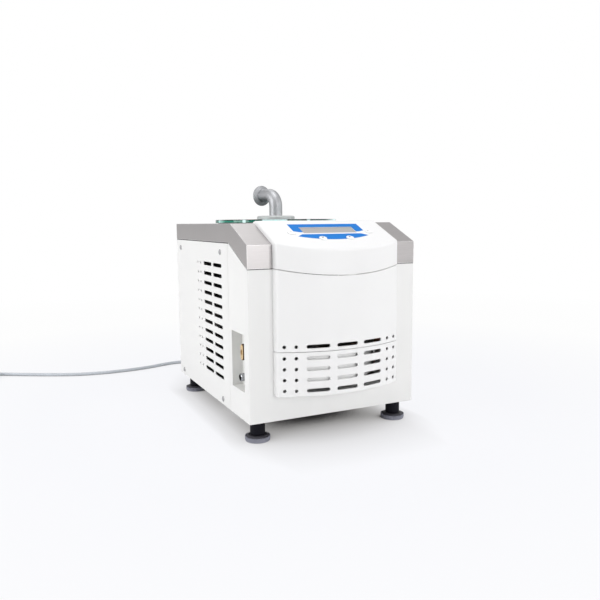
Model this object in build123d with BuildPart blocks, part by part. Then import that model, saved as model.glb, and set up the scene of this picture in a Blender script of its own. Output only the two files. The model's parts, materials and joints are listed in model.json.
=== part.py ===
from build123d import *
import math
import os

os.makedirs("parts", exist_ok=True)

# Benchtop freeze dryer: a sheet-metal housing round a refrigerated chamber with a clear lid.
# Millimetres, +Z up. The origin is the middle of the machine's footprint, on the bench.
# The control panel faces -Y and the louvred side with the drain faces -X.

# ---------------------------------------------------------------- driving dimensions
body_width = 310.0
body_depth = 410.0  # flat front to flat back
housing_height = 316.8
foot_height = 35.5  # bench to the underside of the housing
sheet = 1.5  # steel sheet
seam = 0.5  # open joint between neighbouring panels
fit_gap = 0.3  # clearance between pieces that move against each other
slip = 0.2  # clearance between pieces that stay put
running_fit = 0.05  # radial clearance of a shaft or spindle

bow_half = 112.8  # half width of the bowed front
bow_proud = 40.8  # middle of the bow, ahead of the flat front
bow_edge_proud = 13.2  # ends of the bow, ahead of the flat front
gland_proud = 9.2  # cable gland, behind the flat back

slope_run = 74.1  # sloping front of the top cover
slope_drop = 32.9
corner_height = 37.2  # front faces of the top cover
flange_height = 31.4  # side flanges of the top cover
flange_knee = 9.6

hood_rise = 10.0  # hood above the sloping cover, measured upright
hood_top_rise = 4.0
hood_overhang = 7.0  # hood behind the bend of the cover
hood_wall = 3.0
hood_round = 6.0
seam_sag = 11.7  # the joint under the hood dips in the middle
cover_wall = 2.5
cover_seam = 0.8  # open joints above and below the front cover
cover_joint = 1.4  # open joint under the edges of the top cover
cover_split_z = 150.0  # joint between front cover and grille
grille_bottom_z = 77.8
front_lap = 10.0  # housing left standing behind the edges of cover and grille

vent_pitch = 17.45
vent_first = 9.0  # row in the cover, above the joint
grille_first = 9.6  # first row in the grille, below the joint
grille_rows = 4
vent_slot = (38.0, 6.0)
vent_slot_spacing = 50.0
vent_hole_r = 2.8
vent_hole_x = (84.6, 102.0)

panel_start = 90.0  # side panel begins this far behind the flat front
louvre_rows = 12
louvre_pitch = 17.81
louvre_first_z = 84.3
louvre_slot = (47.0, 6.6)
louvre_y = (12.3, -43.2)
louvre_hole_r = 2.5
louvre_hole_y = (71.3, 54.3)

screw_r = 2.0
screw_head_r = 5.0
screw_head = 2.2
panel_screw_y = (-61.0, 191.0)
panel_screw_low = 46.0
panel_screw_drop = 48.3  # upper screws, below the top face
rear_screw_x = 130.0

pot_r = 100.0  # ice condenser chamber, inside
pot_wall = 1.5
pot_depth = 150.0
pot_lip = 10.5
pot_corner = 8.0
spout_r = 7.0
spout_length = 25.0
jacket_wall = 20.0
jacket_floor = 14.0
jacket_gap = 0.2
coil_port_gap = 2.0

coil_tube_r = 5.0
coil_wall_gap = 2.5
coil_turns = 6
coil_pitch = 18.0
coil_lift = 14.0

lid_r = 118.0
lid_thickness = 6.0
lid_lift = 1.0  # top face of the cover to the underside of the lid
lid_rounds = (1.5, 0.8)  # upper and lower rim
boss_r = 37.0
boss_height = 7.2
boss_round = 3.5
elbow_r = 12.7
elbow_wall = 1.7
elbow_bend = 22.0
elbow_height = 54.7  # top face of the cover to the axis of the outlet
elbow_reach = 50.0
elbow_turn = 168.0  # outlet direction, degrees from -Y towards -X
flange_r = 20.0
flange_rim = 3.0
port_r = 13.1
port_depth = 5.0

recess_y = (-169.5, -112.0)
recess_z = (83.0, 177.0)
recess_depth = 18.0
recess_flange = 8.0
knob_at = (-144.0, 144.3)
knob_grip = (27.0, 13.0)  # the grip stands upright while the tap is shut
knob_grip_depth = 8.5
knob_collar_r = 8.0
knob_collar = 2.5
knob_gap = 2.0
nozzle_at = (-135.0, 100.2)
nozzle_r = 6.25
nozzle_bore_r = 4.5
nozzle_length = 13.0
nozzle_hex_r = 8.25
nozzle_hex = 3.0
nozzle_tip = 0.8
switch_size = (22.0, 30.0)

foot_x = 131.7
foot_inset = (26.5, 31.0)  # front and rear feet from the flat front and back
pad_r = 20.2
pad_height = 10.0
sleeve_r = 12.4
stud_r = 4.0
tray_floor = 2.0
tray_rim = 20.5
tray_slot = (90.0, 6.0)
tray_slot_spots = [(70, -20), (70, 0), (-70, -20), (-70, 0), (-70, 20)]
rear_vent_slot = (60.0, 6.0)
rear_vent_at = (30.0, 130.0)
rear_vent_pitch = 16.0
rear_vent_count = 9

cord_r = 3.5
gland_at = (-60.0, 70.0)
gland_r = 8.0
fuse_at = (-100.0, 70.0)
fuse_r = 6.4
relief_length = 35.0

# ---------------------------------------------------------------- places worked out from them
half_w = body_width / 2
top_z = foot_height + housing_height
front_y = -(body_depth + bow_proud + gland_proud) / 2 + bow_proud
back_y = front_y + body_depth
slope_y = front_y + slope_run
slope_z = top_z - slope_drop
slope_angle = math.degrees(math.atan2(slope_drop, slope_run))
slope_tan = slope_drop / slope_run
slope_cos = math.cos(math.radians(slope_angle))
slope_sin = math.sin(math.radians(slope_angle))
corner_z = slope_z - corner_height
flange_z = top_z - flange_height
panel_top_z = flange_z - cover_joint
knee_y = slope_y + flange_knee
panel_y = front_y + panel_start
inner_x = half_w - sheet
panel_screw_z = (panel_screw_low, top_z - panel_screw_drop)

bow_sagitta = bow_proud - bow_edge_proud
bow_radius = (bow_half**2 + bow_sagitta**2) / (2 * bow_sagitta)
bow_centre_y = front_y - bow_proud + bow_radius
seam_edge_z = corner_z
seam_radius = (bow_half**2 + seam_sag**2) / (2 * seam_sag)
seam_centre_z = seam_edge_z - seam_sag + seam_radius

chamber_y = (slope_y + back_y) / 2
pot_outer_r = pot_r + pot_wall
pot_floor_z = top_z - pot_depth
jacket_r = pot_outer_r + jacket_gap + jacket_wall
jacket_bottom_z = pot_floor_z - pot_wall - jacket_gap - jacket_floor
spout_end_z = pot_floor_z - pot_wall - spout_length
lid_z = top_z + lid_lift
boss_z = lid_z + lid_thickness

tray_z = foot_height
floor_z = tray_z + tray_floor
recess_x = -half_w + recess_depth
recess_middle = (sum(recess_y) / 2, sum(recess_z) / 2)
recess_size = (recess_y[1] - recess_y[0], recess_z[1] - recess_z[0])
foot_y = (front_y + foot_inset[0], back_y - foot_inset[1])
foot_spots = [(x, y) for x in (-foot_x, foot_x) for y in foot_y]


def bow_face(inset, back):
    """Plan of the bowed front: straight sides and an arc, with rounded corners."""
    half = bow_half - inset
    radius = bow_radius - inset
    side_y = bow_centre_y - math.sqrt(radius**2 - half**2)
    with BuildSketch() as plan:
        with BuildLine():
            Polyline((half, side_y), (half, back), (-half, back), (-half, side_y))
            ThreePointArc((-half, side_y), (0, bow_centre_y - radius), (half, side_y))
        make_face()
        fillet(plan.vertices().group_by(Axis.Y)[0], hood_round - inset)
    return plan.sketch


def below_seam(gap):
    """Everything under the dipped joint between the hood and the front cover."""
    with BuildPart() as under:
        with BuildSketch(Plane.XZ.offset(-front_y - 1)):
            with Locations((0, cover_split_z)):
                Rectangle(4 * bow_half, 4 * bow_half)
            with Locations((0, seam_centre_z)):
                Circle(seam_radius + gap, mode=Mode.SUBTRACT)
        extrude(amount=3 * bow_proud)
    return under.part


def vent_rows(heights):
    """Cutters for rows of slots and round holes through the bowed front."""
    with BuildPart() as cutters:
        with BuildSketch(Plane.XZ.offset(-front_y)):
            for height in heights:
                with Locations(*[(i * vent_slot_spacing, height) for i in (-1, 0, 1)]):
                    SlotOverall(*vent_slot)
                with Locations(*[(s * x, height) for s in (-1, 1) for x in vent_hole_x]):
                    Circle(vent_hole_r)
        extrude(amount=bow_proud + 10)
    return cutters.part


def pipe(points, radius, bends, bore=0.0):
    """A round tube along straight runs joined by tangent arcs."""
    with BuildPart() as tube:
        with BuildLine() as path:
            FilletPolyline(*points, radius=bends)
        start = Plane(origin=path.line @ 0, z_dir=path.line % 0)
        with BuildSketch(start):
            Circle(radius)
            if bore:
                Circle(bore, mode=Mode.SUBTRACT)
        sweep()
    return tube.part


# ---------------------------------------------------------------- housing
with BuildPart() as base_tray:
    with BuildSketch(Plane.XY.offset(tray_z)):
        with Locations((0, (front_y + back_y) / 2)):
            Rectangle(2 * inner_x, body_depth - 2 * sheet)
    extrude(amount=tray_rim)
    with BuildSketch(Plane.XY.offset(floor_z)):
        with Locations((0, (front_y + back_y) / 2)):
            Rectangle(2 * (inner_x - tray_floor), body_depth - 2 * (sheet + tray_floor))
    extrude(amount=tray_rim, mode=Mode.SUBTRACT)
    with Locations(*[(x, y, floor_z) for x, y in foot_spots]):
        Hole(stud_r + fit_gap, depth=tray_floor + 1)
    with BuildSketch(Plane.XY.offset(tray_z)):
        with Locations(*tray_slot_spots):
            SlotOverall(*tray_slot)
    extrude(amount=tray_floor, mode=Mode.SUBTRACT)
    with BuildSketch(Plane.YZ.offset(-half_w)):
        with Locations(*[(y, panel_screw_z[0]) for y in panel_screw_y]):
            Circle(screw_r)
    extrude(amount=body_width, mode=Mode.SUBTRACT)
    with BuildSketch(Plane.XZ.offset(-back_y)):
        with Locations(*[(s * rear_screw_x, panel_screw_z[0]) for s in (-1, 1)]):
            Circle(screw_r)
    extrude(amount=sheet + 2 * tray_floor, mode=Mode.SUBTRACT)
base_tray.part.label = "base_tray"
export_step(base_tray.part, "parts/base_tray.step")

with BuildPart() as front_frame:
    with BuildSketch(Plane.YZ.offset(-half_w)):
        with BuildLine():
            Polyline(
                (front_y, tray_z),
                (front_y, corner_z - cover_joint),
                (knee_y, panel_top_z),
                (panel_y - seam, panel_top_z),
                (panel_y - seam, tray_z),
                close=True,
            )
        make_face()
    extrude(amount=body_width)
    with BuildSketch(Plane.XY.offset(tray_z)):
        with Locations((0, front_y + sheet + panel_start)):
            Rectangle(2 * inner_x, 2 * panel_start)
    extrude(amount=housing_height, mode=Mode.SUBTRACT)
    corner_edges = front_frame.edges().filter_by(Axis.Z).group_by(Axis.Y)[0]
    fillet(corner_edges, 0.9 * sheet)
    with BuildSketch(Plane.XZ.offset(-front_y)):
        with Locations((0, (grille_bottom_z + corner_z) / 2)):
            Rectangle(2 * (bow_half - front_lap), corner_z - grille_bottom_z - 2 * front_lap)
    extrude(amount=-2 * sheet, mode=Mode.SUBTRACT)
    with BuildSketch(Plane.YZ.offset(-half_w)):
        with Locations(recess_middle):
            Rectangle(*recess_size)
    extrude(amount=2 * sheet, mode=Mode.SUBTRACT)
    with BuildSketch(Plane.YZ.offset(half_w)):
        with Locations(recess_middle):
            Rectangle(*[size + 2 * running_fit for size in switch_size])
    extrude(amount=-2 * sheet, mode=Mode.SUBTRACT)
front_frame.part.label = "front_frame"
export_step(front_frame.part, "parts/front_frame.step")

panel_middle = (panel_y + back_y) / 2
for side, name in ((-1, "left_side_panel"), (1, "right_side_panel")):
    with BuildPart() as side_panel:
        with BuildSketch(Plane.YZ.offset(side * half_w)):
            with Locations((panel_middle, (tray_z + panel_top_z) / 2)):
                Rectangle(back_y - panel_y, panel_top_z - tray_z)
            for row in range(louvre_rows):
                height = louvre_first_z + row * louvre_pitch
                with Locations(*[(y, height) for y in louvre_y]):
                    RectangleRounded(*louvre_slot, louvre_slot[1] * 0.45, mode=Mode.SUBTRACT)
                with Locations(*[(y, height) for y in louvre_hole_y]):
                    Circle(louvre_hole_r, mode=Mode.SUBTRACT)
            with Locations(*[(y, z) for y in panel_screw_y for z in panel_screw_z]):
                Circle(screw_r + slip, mode=Mode.SUBTRACT)
        extrude(amount=-side * sheet)
    side_panel.part.label = name
    export_step(side_panel.part, f"parts/{name}.step")

with BuildPart() as rear_panel:
    with BuildSketch(Plane.XZ.offset(-back_y)):
        with Locations((0, (tray_z + panel_top_z) / 2)):
            Rectangle(2 * (inner_x - slip), panel_top_z - tray_z)
        with GridLocations(rear_vent_pitch, 0, rear_vent_count, 1):
            with Locations(rear_vent_at):
                SlotOverall(*rear_vent_slot, rotation=90, mode=Mode.SUBTRACT)
        with Locations(gland_at):
            Circle(gland_r + slip / 2, mode=Mode.SUBTRACT)
        with Locations(fuse_at):
            Circle(fuse_r + slip, mode=Mode.SUBTRACT)
        with Locations(*[(s * rear_screw_x, z) for s in (-1, 1) for z in panel_screw_z]):
            Circle(screw_r + slip, mode=Mode.SUBTRACT)
    extrude(amount=sheet)
rear_panel.part.label = "rear_panel"
export_step(rear_panel.part, "parts/rear_panel.step")

rail_thickness = 2.0
rail_drop = 56.0
rail_flange = 16.0
rail_start = slope_y + rail_thickness
with BuildPart() as chassis_rails:
    rail_length = back_y - sheet - rail_thickness - rail_start
    for side in (-1, 1):
        with BuildSketch(Plane.XZ.offset(-rail_start)):
            with Locations((side * (inner_x - rail_thickness / 2), top_z - sheet - rail_drop / 2)):
                Rectangle(rail_thickness, rail_drop)
            with Locations((side * (inner_x - rail_flange / 2), top_z - sheet - rail_thickness / 2)):
                Rectangle(rail_flange, rail_thickness)
        extrude(amount=-rail_length)
    with BuildSketch(Plane.YZ.offset(-half_w)):
        with Locations(*[(y, panel_screw_z[1]) for y in panel_screw_y]):
            Circle(screw_r)
    extrude(amount=body_width, mode=Mode.SUBTRACT)
    with BuildSketch(Plane.XZ.offset(-(back_y - sheet))):
        with Locations((0, top_z - sheet - rail_drop / 2)):
            Rectangle(2 * inner_x, rail_drop)
        with Locations(*[(s * rear_screw_x, panel_screw_z[1]) for s in (-1, 1)]):
            Circle(screw_r, mode=Mode.SUBTRACT)
    extrude(amount=rail_thickness)
chassis_rails.part.label = "chassis_rails"
export_step(chassis_rails.part, "parts/chassis_rails.step")

with BuildPart() as top_cover:
    with BuildSketch(Plane.YZ.offset(-half_w)):
        with BuildLine():
            Polyline(
                (front_y, corner_z),
                (front_y, slope_z),
                (slope_y, top_z),
                (back_y, top_z),
                (back_y, flange_z),
                (knee_y, flange_z),
                close=True,
            )
        make_face()
    extrude(amount=body_width)
    side_bends = [
        edge
        for edge in top_cover.edges().filter_by(Axis.X, reverse=True)
        if edge.center().Z > slope_z and edge.length > slope_run
    ]
    front_bend = top_cover.edges().filter_by(Axis.X).group_by(Axis.Y)[0].sort_by(Axis.Z)[-1]
    fillet(side_bends + [front_bend], sheet / 2)
    inner_slope_z = slope_z + sheet * slope_tan - sheet / slope_cos
    inner_bend_y = front_y + (top_z - sheet - slope_z + sheet / slope_cos) / slope_tan
    with BuildSketch(Plane.YZ.offset(-inner_x)):
        with BuildLine():
            Polyline(
                (front_y + sheet, corner_z - 1),
                (front_y + sheet, inner_slope_z),
                (inner_bend_y, top_z - sheet),
                (back_y - sheet, top_z - sheet),
                (back_y - sheet, flange_z - 1),
                (knee_y, flange_z - 1),
                close=True,
            )
        make_face()
    extrude(amount=2 * inner_x, mode=Mode.SUBTRACT)
    with Locations((0, chamber_y, top_z)):
        Hole(pot_outer_r + jacket_gap, depth=2 * sheet)
    hood_lap = 5.0  # cover that runs on under the sides of the hood
    bend_land = 8.0  # cover left whole ahead of its bend
    with BuildSketch(Plane.XY.offset(corner_z - 1)):
        with Locations((0, front_y + (slope_run - bend_land) / 2 - 1)):
            Rectangle(2 * (bow_half - hood_lap), slope_run - bend_land + 2)
        with Locations((0, front_y)):
            Rectangle(2 * (bow_half + seam), 2 * sheet)
    extrude(amount=corner_height + slope_drop + 3, mode=Mode.SUBTRACT)
top_cover.part.label = "top_cover"
export_step(top_cover.part, "parts/top_cover.step")

# ---------------------------------------------------------------- hood, front cover and grille
bow_front_y = bow_centre_y - bow_radius
hood_back_y = slope_y + hood_overhang
hood_top_z = top_z + hood_top_rise


def hood_slope_z(y, drop=0.0):
    """Height of the hood's sloping face, or of a face `drop` inside it."""
    return slope_z + hood_rise + slope_tan * (y - front_y) - drop / slope_cos


def hood_body(wall):
    """The hood as a solid, or with `wall` the hollow inside it."""
    plan = bow_face(wall, hood_back_y - wall)
    lid_height = hood_top_z - wall
    turn_y = front_y + (lid_height - hood_slope_z(front_y, wall)) / slope_tan
    low_y = bow_front_y - 1
    underside = [(hood_back_y - wall, cover_split_z)]
    if wall == 0:
        underside = [
            (hood_back_y, top_z),
            (slope_y, top_z),
            (front_y, slope_z),
            (front_y, cover_split_z),
        ]
    with BuildPart() as body:
        with BuildSketch(Plane.XY.offset(cover_split_z)):
            add(plan)
        extrude(amount=hood_top_z)
        with BuildSketch(Plane.YZ.offset(-half_w)):
            with BuildLine():
                Polyline(
                    (low_y, cover_split_z),
                    (low_y, hood_slope_z(low_y, wall)),
                    (turn_y, lid_height),
                    (hood_back_y - wall, lid_height),
                    *underside,
                    close=True,
                )
            make_face()
        extrude(amount=body_width, mode=Mode.INTERSECT)
    return body.part


overlay_y = -170.0  # middle of the operating panel
panel_plane = Plane(
    origin=(0, overlay_y, hood_slope_z(overlay_y)),
    x_dir=(1, 0, 0),
    z_dir=(0, -slope_sin, slope_cos),
)
display_half = 50.0
display_span = (-4.9, 18.7)  # along the slope, from the middle of the panel
display_sink = 1.2
display_rim = 4.0
key_spots = {"key_left": (-72.0, -3.8), "key_down": (-25.0, -25.8), "key_up": (25.0, -25.8),
             "key_right": (72.0, -3.8)}
key_r = 6.6
key_hole_r = key_r + fit_gap
key_flange_r = 8.4
key_flange = 1.2
key_round = 0.6
key_proud = 1.2
key_travel = 0.8
plunger_r = 2.5
overlay_sink = 0.4
overlay_half = 66.0
overlay_top = 30.3
overlay_tip = -16.4
overlay_bottom = -29.9
board_depth = 14.0  # hood's face to the board's top face
board_thickness = 1.6
board_size = (172.0, 58.0)
board_centre = (0.0, -2.0)
button_size = 6.0
button_height = 3.5
chip_size = (14.0, 10.0)
chip_height = 5.0
chip_spots = [(-50, 0), (-20, -8), (15, 2)]
connector_size = (30.0, 8.0)
connector_at = (55.0, -5.0)
post_r = 3.0
post_spots = [(x, board_centre[1] + y) for x in (-82, 82) for y in (-25, 25)]

with BuildSketch() as overlay_outline:
    with BuildLine():
        Polyline(
            (overlay_half, overlay_tip),
            (overlay_half, overlay_top),
            (-overlay_half, overlay_top),
            (-overlay_half, overlay_tip),
        )
        ThreePointArc((-overlay_half, overlay_tip), (0, overlay_bottom), (overlay_half, overlay_tip))
    make_face()
    with Locations(*key_spots.values()):
        Circle(key_hole_r, mode=Mode.SUBTRACT)
    with Locations((0, sum(display_span) / 2)):
        Rectangle(2 * display_half, display_span[1] - display_span[0], mode=Mode.SUBTRACT)

with BuildPart() as control_hood:
    add(hood_body(0))
    upper = [face for face in control_hood.faces() if face.normal_at().Z > 0.85]
    rims = [
        edge
        for face in upper
        for edge in face.edges()
        if abs(edge.center().X) > 1 or edge.center().Y < bow_front_y + 1
    ]
    fillet(rims, hood_round)
    add(hood_body(hood_wall), mode=Mode.SUBTRACT)
    add(below_seam(0), mode=Mode.SUBTRACT)
    with BuildSketch(panel_plane):
        with Locations(*post_spots):
            Circle(post_r)
    extrude(amount=-board_depth)
    with BuildSketch(panel_plane):
        add(overlay_outline.sketch)
    extrude(amount=-overlay_sink, mode=Mode.SUBTRACT)
    with BuildSketch(panel_plane):
        with Locations((0, sum(display_span) / 2)):
            Rectangle(2 * display_half, display_span[1] - display_span[0])
        with Locations(*key_spots.values()):
            Circle(key_hole_r)
    extrude(amount=-hood_wall - 1, mode=Mode.SUBTRACT)
control_hood.part.label = "control_hood"
export_step(control_hood.part, "parts/control_hood.step")

with BuildPart() as front_cover:
    with BuildSketch(Plane.XY.offset(cover_split_z + cover_seam)):
        add(bow_face(0, front_y))
        add(bow_face(cover_wall, front_y + 1), mode=Mode.SUBTRACT)
    extrude(amount=corner_z)
    with BuildSketch(Plane.XZ.offset(-front_y)):
        with Locations((0, seam_centre_z)):
            Circle(seam_radius + cover_seam)
    extrude(amount=bow_proud + 1, mode=Mode.SUBTRACT)
    add(vent_rows([cover_split_z + vent_first]), mode=Mode.SUBTRACT)
front_cover.part.label = "front_cover"
export_step(front_cover.part, "parts/front_cover.step")

with BuildPart() as front_grille:
    with BuildSketch(Plane.XY.offset(grille_bottom_z)):
        add(bow_face(0, front_y))
    extrude(amount=cover_split_z - grille_bottom_z)
    low_edges = front_grille.edges().group_by(Axis.Z)[0].filter_by(GeomType.LINE, reverse=True)
    fillet(low_edges, cover_wall)
    with BuildSketch(Plane.XY.offset(grille_bottom_z + cover_wall)):
        add(bow_face(cover_wall, front_y + 1))
    extrude(amount=cover_split_z, mode=Mode.SUBTRACT)
    first_z = cover_split_z - grille_first
    add(vent_rows([first_z - i * vent_pitch for i in range(grille_rows)]), mode=Mode.SUBTRACT)
front_grille.part.label = "front_grille"
export_step(front_grille.part, "parts/front_grille.step")

with BuildPart() as keypad_overlay:
    with BuildSketch(panel_plane.offset(-overlay_sink)):
        add(overlay_outline.sketch)
    extrude(amount=overlay_sink)
keypad_overlay.part.label = "keypad_overlay"
export_step(keypad_overlay.part, "parts/keypad_overlay.step")

with BuildPart() as display_module:
    with BuildSketch(panel_plane.offset(-board_depth)):
        with Locations((0, sum(display_span) / 2)):
            Rectangle(
                2 * (display_half + display_rim), display_span[1] - display_span[0] + 2 * display_rim
            )
    extrude(amount=board_depth - hood_wall)
    with BuildSketch(panel_plane.offset(-hood_wall)):
        with Locations((0, sum(display_span) / 2)):
            Rectangle(2 * (display_half - slip), display_span[1] - display_span[0] - 2 * slip)
    extrude(amount=hood_wall - display_sink)
display_module.part.label = "display_module"
export_step(display_module.part, "parts/display_module.step")

with BuildPart() as control_board:
    with BuildSketch(panel_plane.offset(-board_depth)):
        with Locations(board_centre):
            Rectangle(*board_size)
    extrude(amount=-board_thickness)
    with BuildSketch(panel_plane.offset(-board_depth)):
        with Locations(*key_spots.values()):
            Rectangle(button_size, button_size)
    extrude(amount=button_height)
    with BuildSketch(panel_plane.offset(-board_depth - board_thickness)):
        with Locations(*chip_spots):
            Rectangle(*chip_size)
        with Locations(connector_at):
            Rectangle(*connector_size)
    extrude(amount=-chip_height)
control_board.part.label = "control_board"
export_step(control_board.part, "parts/control_board.step")

plunger_length = board_depth - button_height - hood_wall - 2 * fit_gap - key_flange - key_travel
for name, spot in key_spots.items():
    with BuildPart() as key:
        with BuildSketch(panel_plane.offset(-hood_wall - fit_gap)):
            with Locations(spot):
                Circle(key_r)
        extrude(amount=hood_wall + fit_gap + key_proud)
        rims = key.edges().sort_by(lambda edge: panel_plane.to_local_coords(edge.center()).Z)
        fillet(rims[-1], key_round)
        with BuildSketch(panel_plane.offset(-hood_wall - fit_gap)):
            with Locations(spot):
                Circle(key_flange_r)
        extrude(amount=-key_flange)
        with BuildSketch(panel_plane.offset(-hood_wall - fit_gap - key_flange)):
            with Locations(spot):
                Circle(plunger_r)
        extrude(amount=-plunger_length)
    key.part.label = name
    export_step(key.part, f"parts/{name}.step")

# ---------------------------------------------------------------- ice condenser chamber and lid
with BuildPart() as chamber_pot:
    with BuildSketch(Plane.XZ.offset(-chamber_y)):
        with BuildLine():
            lip_z = top_z - sheet
            Polyline(
                (spout_r - pot_wall, spout_end_z),
                (spout_r, spout_end_z),
                (spout_r, pot_floor_z - pot_wall),
                (pot_outer_r, pot_floor_z - pot_wall),
                (pot_outer_r, lip_z - pot_wall),
                (pot_outer_r + pot_lip, lip_z - pot_wall),
                (pot_outer_r + pot_lip, lip_z),
                (pot_outer_r, lip_z),
                (pot_outer_r, top_z),
                (pot_r, top_z),
                (pot_r, pot_floor_z),
                (spout_r - pot_wall, pot_floor_z),
                close=True,
            )
        make_face()
    revolve(axis=Axis((0, chamber_y, 0), (0, 0, 1)))
    rings = chamber_pot.edges().filter_by(GeomType.CIRCLE)
    inner_corner = rings.filter_by(lambda e: abs(e.radius - pot_r) < 0.1).sort_by(Axis.Z)[0]
    outer_corner = rings.filter_by(lambda e: abs(e.radius - pot_outer_r) < 0.1).sort_by(Axis.Z)[0]
    fillet(inner_corner, pot_corner)
    fillet(outer_corner, pot_corner + pot_wall)
    coil_inlet_z = pot_floor_z + coil_lift
    coil_outlet_z = coil_inlet_z + (coil_turns - 1) * coil_pitch
    outlet_turn = -80.0
    inlet_turn = -20.0
    for turn, height in ((inlet_turn, coil_inlet_z), (outlet_turn, coil_outlet_z)):
        port = Plane(
            origin=(0, chamber_y, height),
            z_dir=(math.cos(math.radians(turn)), math.sin(math.radians(turn)), 0),
        )
        with BuildSketch(port):
            Circle(coil_tube_r + coil_port_gap)
        extrude(amount=pot_outer_r + 1, mode=Mode.SUBTRACT)
    # the pressed bottom and the rolled wall are two pieces, welded at the floor
    split(bisect_by=Plane.XY.offset(pot_floor_z), keep=Keep.BOTH)
chamber_pot.part.label = "chamber_pot"
export_step(chamber_pot.part, "parts/chamber_pot.step")

with BuildPart() as insulation_jacket:
    jacket_top_z = top_z - sheet - pot_wall - jacket_gap
    with Locations((0, chamber_y, jacket_bottom_z)):
        Cylinder(jacket_r, jacket_top_z - jacket_bottom_z, align=(Align.CENTER, Align.CENTER, Align.MIN))
    fillet(insulation_jacket.edges().group_by(Axis.Z)[0], jacket_wall / 3)
    with Locations((0, chamber_y, pot_floor_z - pot_wall - jacket_gap)):
        Cylinder(
            pot_outer_r + jacket_gap,
            pot_depth,
            align=(Align.CENTER, Align.CENTER, Align.MIN),
            mode=Mode.SUBTRACT,
        )
    with Locations((0, chamber_y, jacket_bottom_z)):
        Cylinder(spout_r + jacket_gap, 3 * jacket_floor, mode=Mode.SUBTRACT)
    for turn, height in ((inlet_turn, coil_inlet_z), (outlet_turn, coil_outlet_z)):
        port = Plane(
            origin=(0, chamber_y, height),
            z_dir=(math.cos(math.radians(turn)), math.sin(math.radians(turn)), 0),
        )
        with BuildSketch(port):
            Circle(coil_tube_r + jacket_gap)
        extrude(amount=jacket_r + 1, mode=Mode.SUBTRACT)
insulation_jacket.part.label = "insulation_jacket"
export_step(insulation_jacket.part, "parts/insulation_jacket.step")


def ring_point(radius, degrees, height):
    """A point round the chamber's axis."""
    turn = math.radians(degrees)
    return (radius * math.cos(turn), chamber_y + radius * math.sin(turn), height)


coil_steps = 12
coil_r = pot_r - coil_wall_gap - coil_tube_r
coil_end_r = jacket_r + 3.0
coil_end_bend = 14.0
coil_span = 360 * (coil_turns - 1) + outlet_turn - inlet_turn
coil_points = [ring_point(coil_end_r, inlet_turn, coil_inlet_z)]
coil_count = round(coil_span / 360 * coil_steps)
for i in range(coil_count + 1):
    part_way = i / coil_count
    height = coil_inlet_z + part_way * (coil_outlet_z - coil_inlet_z)
    coil_points.append(ring_point(coil_r, inlet_turn + part_way * coil_span, height))
coil_points.append(ring_point(coil_end_r, outlet_turn, coil_outlet_z))
coil_step_run = 2 * coil_r * math.sin(math.radians(180 / coil_steps))
coil_bend = 0.45 * coil_step_run / math.tan(math.radians(180 / coil_steps))
coil_bends = [coil_end_bend] + [coil_bend] * (coil_count - 1) + [coil_end_bend]
with BuildPart() as evaporator_coil:
    add(pipe(coil_points, coil_tube_r, coil_bends))
evaporator_coil.part.label = "evaporator_coil"
export_step(evaporator_coil.part, "parts/evaporator_coil.step")

gasket_r = (pot_r - 2.2, pot_r + 13.0)
gasket_lip = 8.0
with BuildPart() as lid_gasket:
    with BuildSketch(Plane.XZ.offset(-chamber_y)):
        with BuildLine():
            Polyline(
                (gasket_r[0], top_z - gasket_lip),
                (pot_r - slip, top_z - gasket_lip),
                (pot_r - slip, top_z),
                (gasket_r[1], top_z),
                (gasket_r[1], lid_z - slip),
                (gasket_r[0], lid_z - slip),
                close=True,
            )
        make_face()
    revolve(axis=Axis((0, chamber_y, 0), (0, 0, 1)))
lid_gasket.part.label = "lid_gasket"
export_step(lid_gasket.part, "parts/lid_gasket.step")

elbow_bore = elbow_r - elbow_wall
with BuildPart() as lid_plate:
    with Locations((0, chamber_y, lid_z)):
        Cylinder(lid_r, lid_thickness, align=(Align.CENTER, Align.CENTER, Align.MIN))
    fillet(lid_plate.edges().group_by(Axis.Z)[-1], lid_rounds[0])
    fillet(lid_plate.edges().group_by(Axis.Z)[0], lid_rounds[1])
    with Locations((0, chamber_y, boss_z)):
        Hole(elbow_bore)
lid_plate.part.label = "lid_plate"
export_step(lid_plate.part, "parts/lid_plate.step")

seal_thickness = 2.6
seal_play = 0.1
seal_round = 0.8
with BuildPart() as lid_boss:
    with Locations((0, chamber_y, boss_z)):
        Cylinder(boss_r, boss_height, align=(Align.CENTER, Align.CENTER, Align.MIN))
    fillet(lid_boss.edges().group_by(Axis.Z)[-1], boss_round)
    with Locations((0, chamber_y, boss_z + boss_height)):
        Hole(elbow_r + running_fit)
    with Locations((0, chamber_y, boss_z + boss_height / 2)):
        Cylinder(elbow_r + seal_thickness, seal_thickness, mode=Mode.SUBTRACT)
lid_boss.part.label = "lid_boss"
export_step(lid_boss.part, "parts/lid_boss.step")

with BuildPart() as elbow_seal:
    with Locations((0, chamber_y, boss_z + boss_height / 2)):
        Cylinder(elbow_r + seal_thickness - seal_play, seal_thickness - seal_play)
        Cylinder(elbow_r + running_fit, seal_thickness, mode=Mode.SUBTRACT)
    seal_rings = elbow_seal.edges().filter_by(GeomType.CIRCLE)
    fillet(seal_rings.filter_by(lambda e: e.radius > elbow_r + 1), seal_round)
elbow_seal.part.label = "elbow_seal"
export_step(elbow_seal.part, "parts/elbow_seal.step")

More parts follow.
